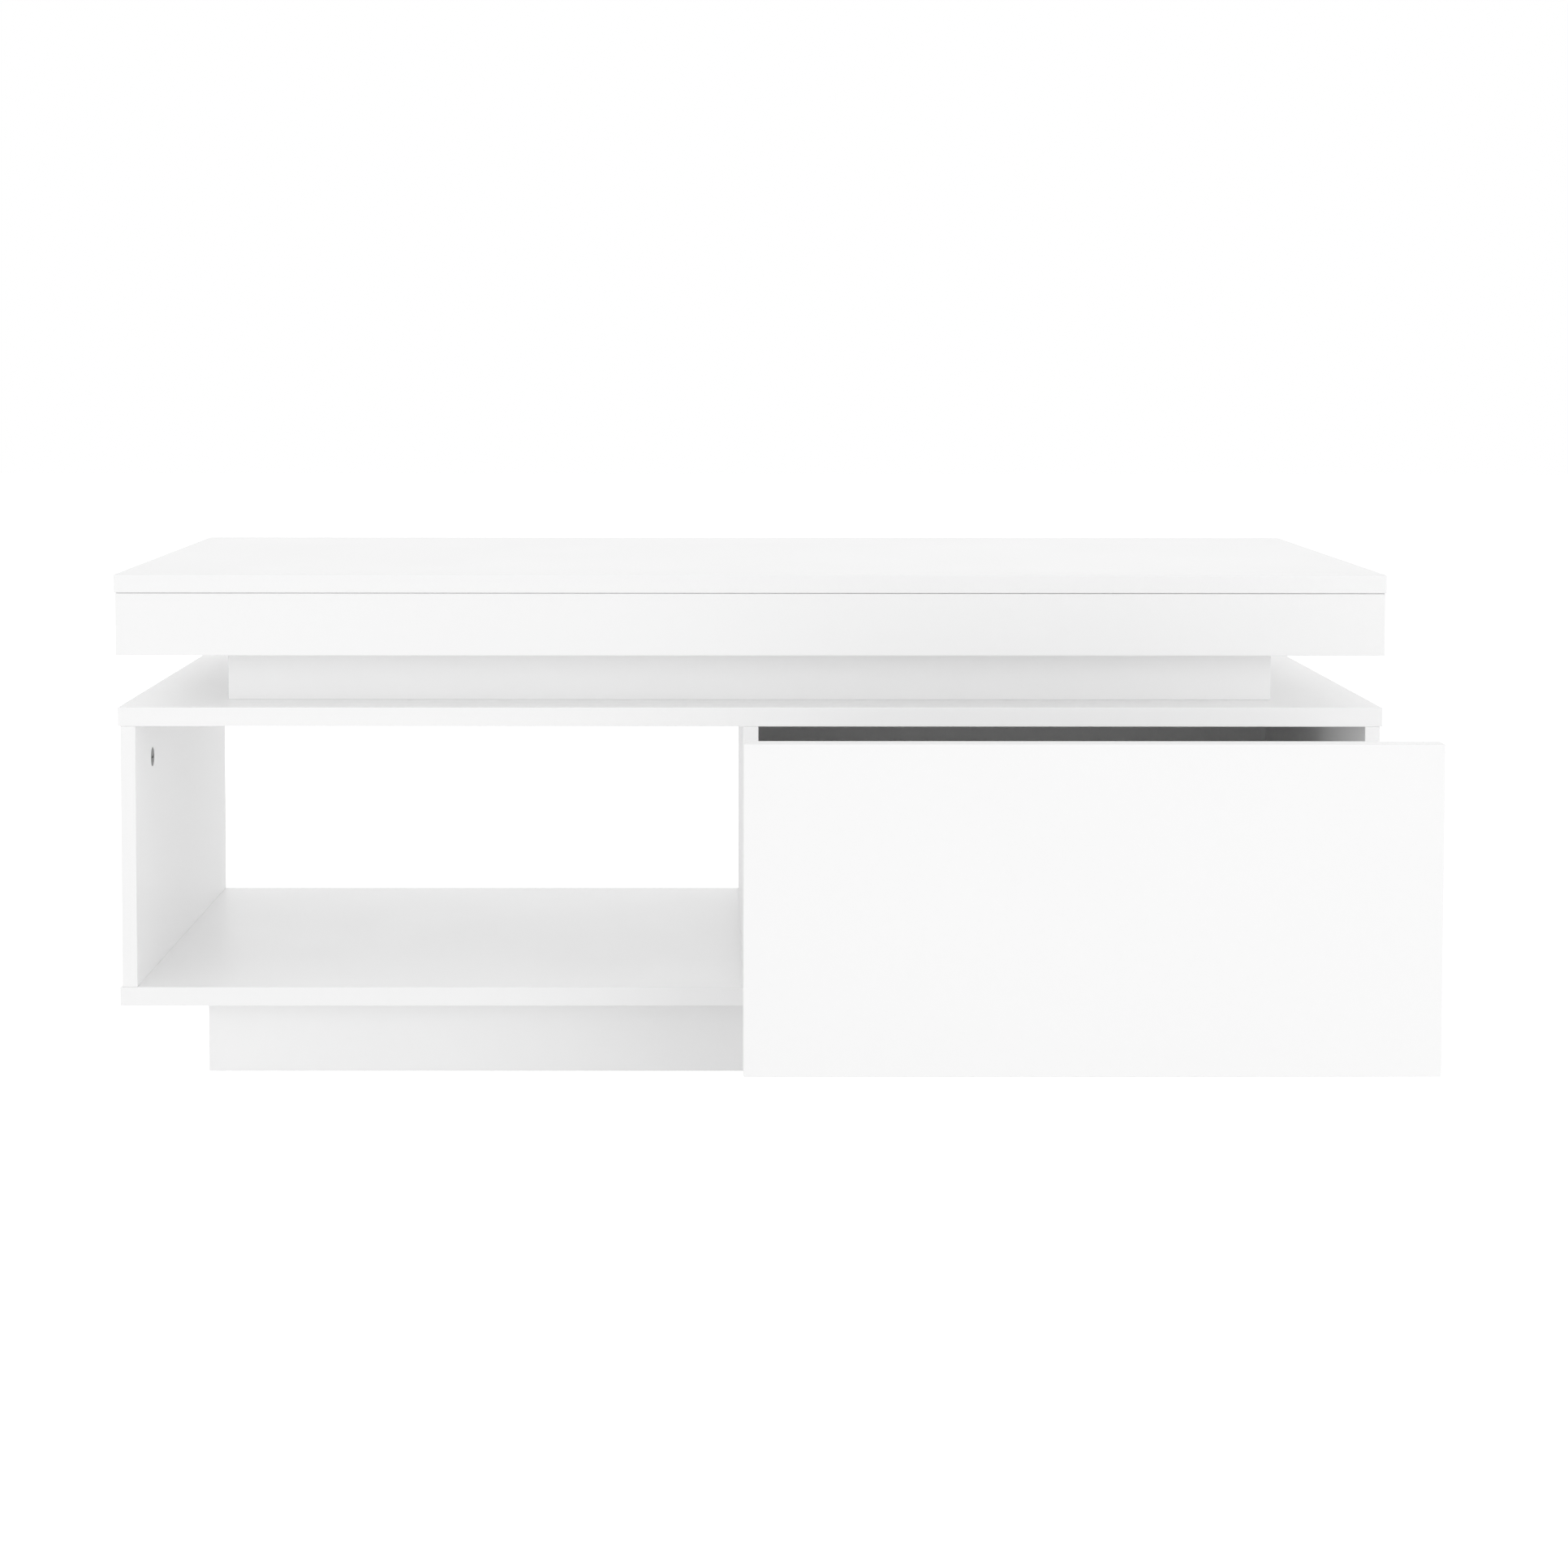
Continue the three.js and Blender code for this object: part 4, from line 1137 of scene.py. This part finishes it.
# %% Channel sections
SLIDE_SHEET = 1.2 * MM
SLIDE_Z = 161.5 * MM
SECTIONS = {
    "outer": (0 * MM, 11.5 * MM, 45 * MM, 4.2 * MM),
    "middle": (3.6 * MM, 11.2 * MM, 34.6 * MM, 3.4 * MM),
    "inner": (13 * MM, 6.2 * MM, 24.6 * MM, 2.4 * MM),
}


def channel_section(web, opening, height, lip):
    """Section in (z, x): web, two flanges and two lips, with their inner side a sheet further in."""
    towards = math.copysign(SLIDE_SHEET, opening - web)
    half = height / 2
    return [(-half, web), (-half, opening), (lip - half, opening), (lip - half, opening - towards),
            (SLIDE_SHEET - half, opening - towards), (SLIDE_SHEET - half, web + towards),
            (half - SLIDE_SHEET, web + towards), (half - SLIDE_SHEET, opening - towards),
            (half - lip, opening - towards), (half - lip, opening), (half, opening), (half, web)]


def channel(section, box):
    """The channel for a bay wall at x = 0: outer folds 1.3 mm round, inner folds and lips finer."""
    corners = np.array(channel_section(*section))
    radii = np.array([1.3, 1.3, 0.45, 0.45, 0.3, 0.3, 0.3, 0.3, 0.45, 0.45, 1.3, 1.3]) * MM
    if runs_clockwise(corners):
        corners, radii = corners[::-1], radii[::-1]
    path = rounded(corners + (SLIDE_Z, 0), radii, 3, support=0.04 * MM)
    return plate([path], box[0].y, box[1].y, "Y", 0.12 * MM, steps=1)


def slide_screw(y, sheet_face, reach):
    """A flat-headed screw whose head stands off a slide's web along x."""
    made = screw(0, 0, 0, head=3.6 * MM, tall=abs(reach))
    a, b, h = made["points"].T
    made["points"] = np.stack([sheet_face + h * math.copysign(1, reach), y + a, SLIDE_Z + b], axis=1)
    return outward(made)


def ball_row(first_y, last_y, x, z, radius, count):
    """A row of balls: one small ball of rings and spokes, repeated at even steps along Y."""
    t = np.linspace(np.pi, 0, 7)
    profile = np.stack([radius * np.cos(t), radius * np.sin(t)], axis=1)[::-1]
    profile[[0, -1], 1] = 0
    one = outward(turned(profile, (x, 0, z), "Y", 10))
    places = np.linspace(first_y, last_y, count)
    size = len(one["points"])
    steps = np.stack([0 * places, places, 0 * places], axis=1)
    shift = (np.arange(count) * size)[:, None, None]
    return shell(one["points"] + steps[:, None], one["quads"] + shift, one["triangles"] + shift)


print("section corners:", len(channel_section(*SECTIONS["outer"])))

# %% Slides in place
low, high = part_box("centre_partition")
WALLS = {"left": (high.x, 1), "right": (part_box("right_side_panel")[0].x, -1)}
BODIES = {"outer": "carcass", "middle": "slide_middles", "inner": "drawer"}


def placed(made, wall, sign):
    """A shell drawn for a wall at x = 0 on the left, at its own wall and facing."""
    moved = made if sign > 0 else mirrored(made)
    return {**moved, "points": moved["points"] + (wall, 0, 0)}


def slide_parts(member, box):
    """The channel of one member with the small parts that travel with it."""
    y0, y1 = box[0].y, box[1].y
    parts = [channel(SECTIONS[member], box)]
    if member == "outer":
        places = (y0 + 35 * MM, y0 + 195 * MM, y1 - 45 * MM)
        parts += [slide_screw(y, SLIDE_SHEET, 1.4 * MM) for y in places]
    if member == "inner":
        places = (y0 + 40 * MM, y0 + 200 * MM, y1 - 40 * MM)
        parts += [slide_screw(y, 13 * MM - SLIDE_SHEET, -1.6 * MM) for y in places]
    if member == "middle":
        for turn in (-1, 1):
            z = SLIDE_Z + turn * 19.35 * MM
            parts.append(ball_row(-95 * MM, 40 * MM, 6.4 * MM, z, 1.75 * MM, 20))
            z = SLIDE_Z + turn * 14.2 * MM
            parts.append(ball_row(-345 * MM, -215 * MM, 8.6 * MM, z, 1.6 * MM, 20))
    return joined(*(outward(part) for part in parts))


for member, body in BODIES.items():
    box_of_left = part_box(f"drawer_slide_{member}_left")
    parts = slide_parts(member, box_of_left)
    for side, (wall, sign) in WALLS.items():
        made = placed(parts, wall, sign)
        make_piece(f"drawer_slide_{member}_{side}", "rolled", made, plated_slide, body)
print("slides rolled, pieces:", made_count["pieces"], "triangles:", made_count["triangles"])

# %% [markdown]
# ## Measure and finish
#
# The finished pieces must fill the same box as the frame did.
# The last line prints how many pieces and triangles were made.

# %% Sizes and finish
print("pieces:", made_count["pieces"], "triangles:", made_count["triangles"])
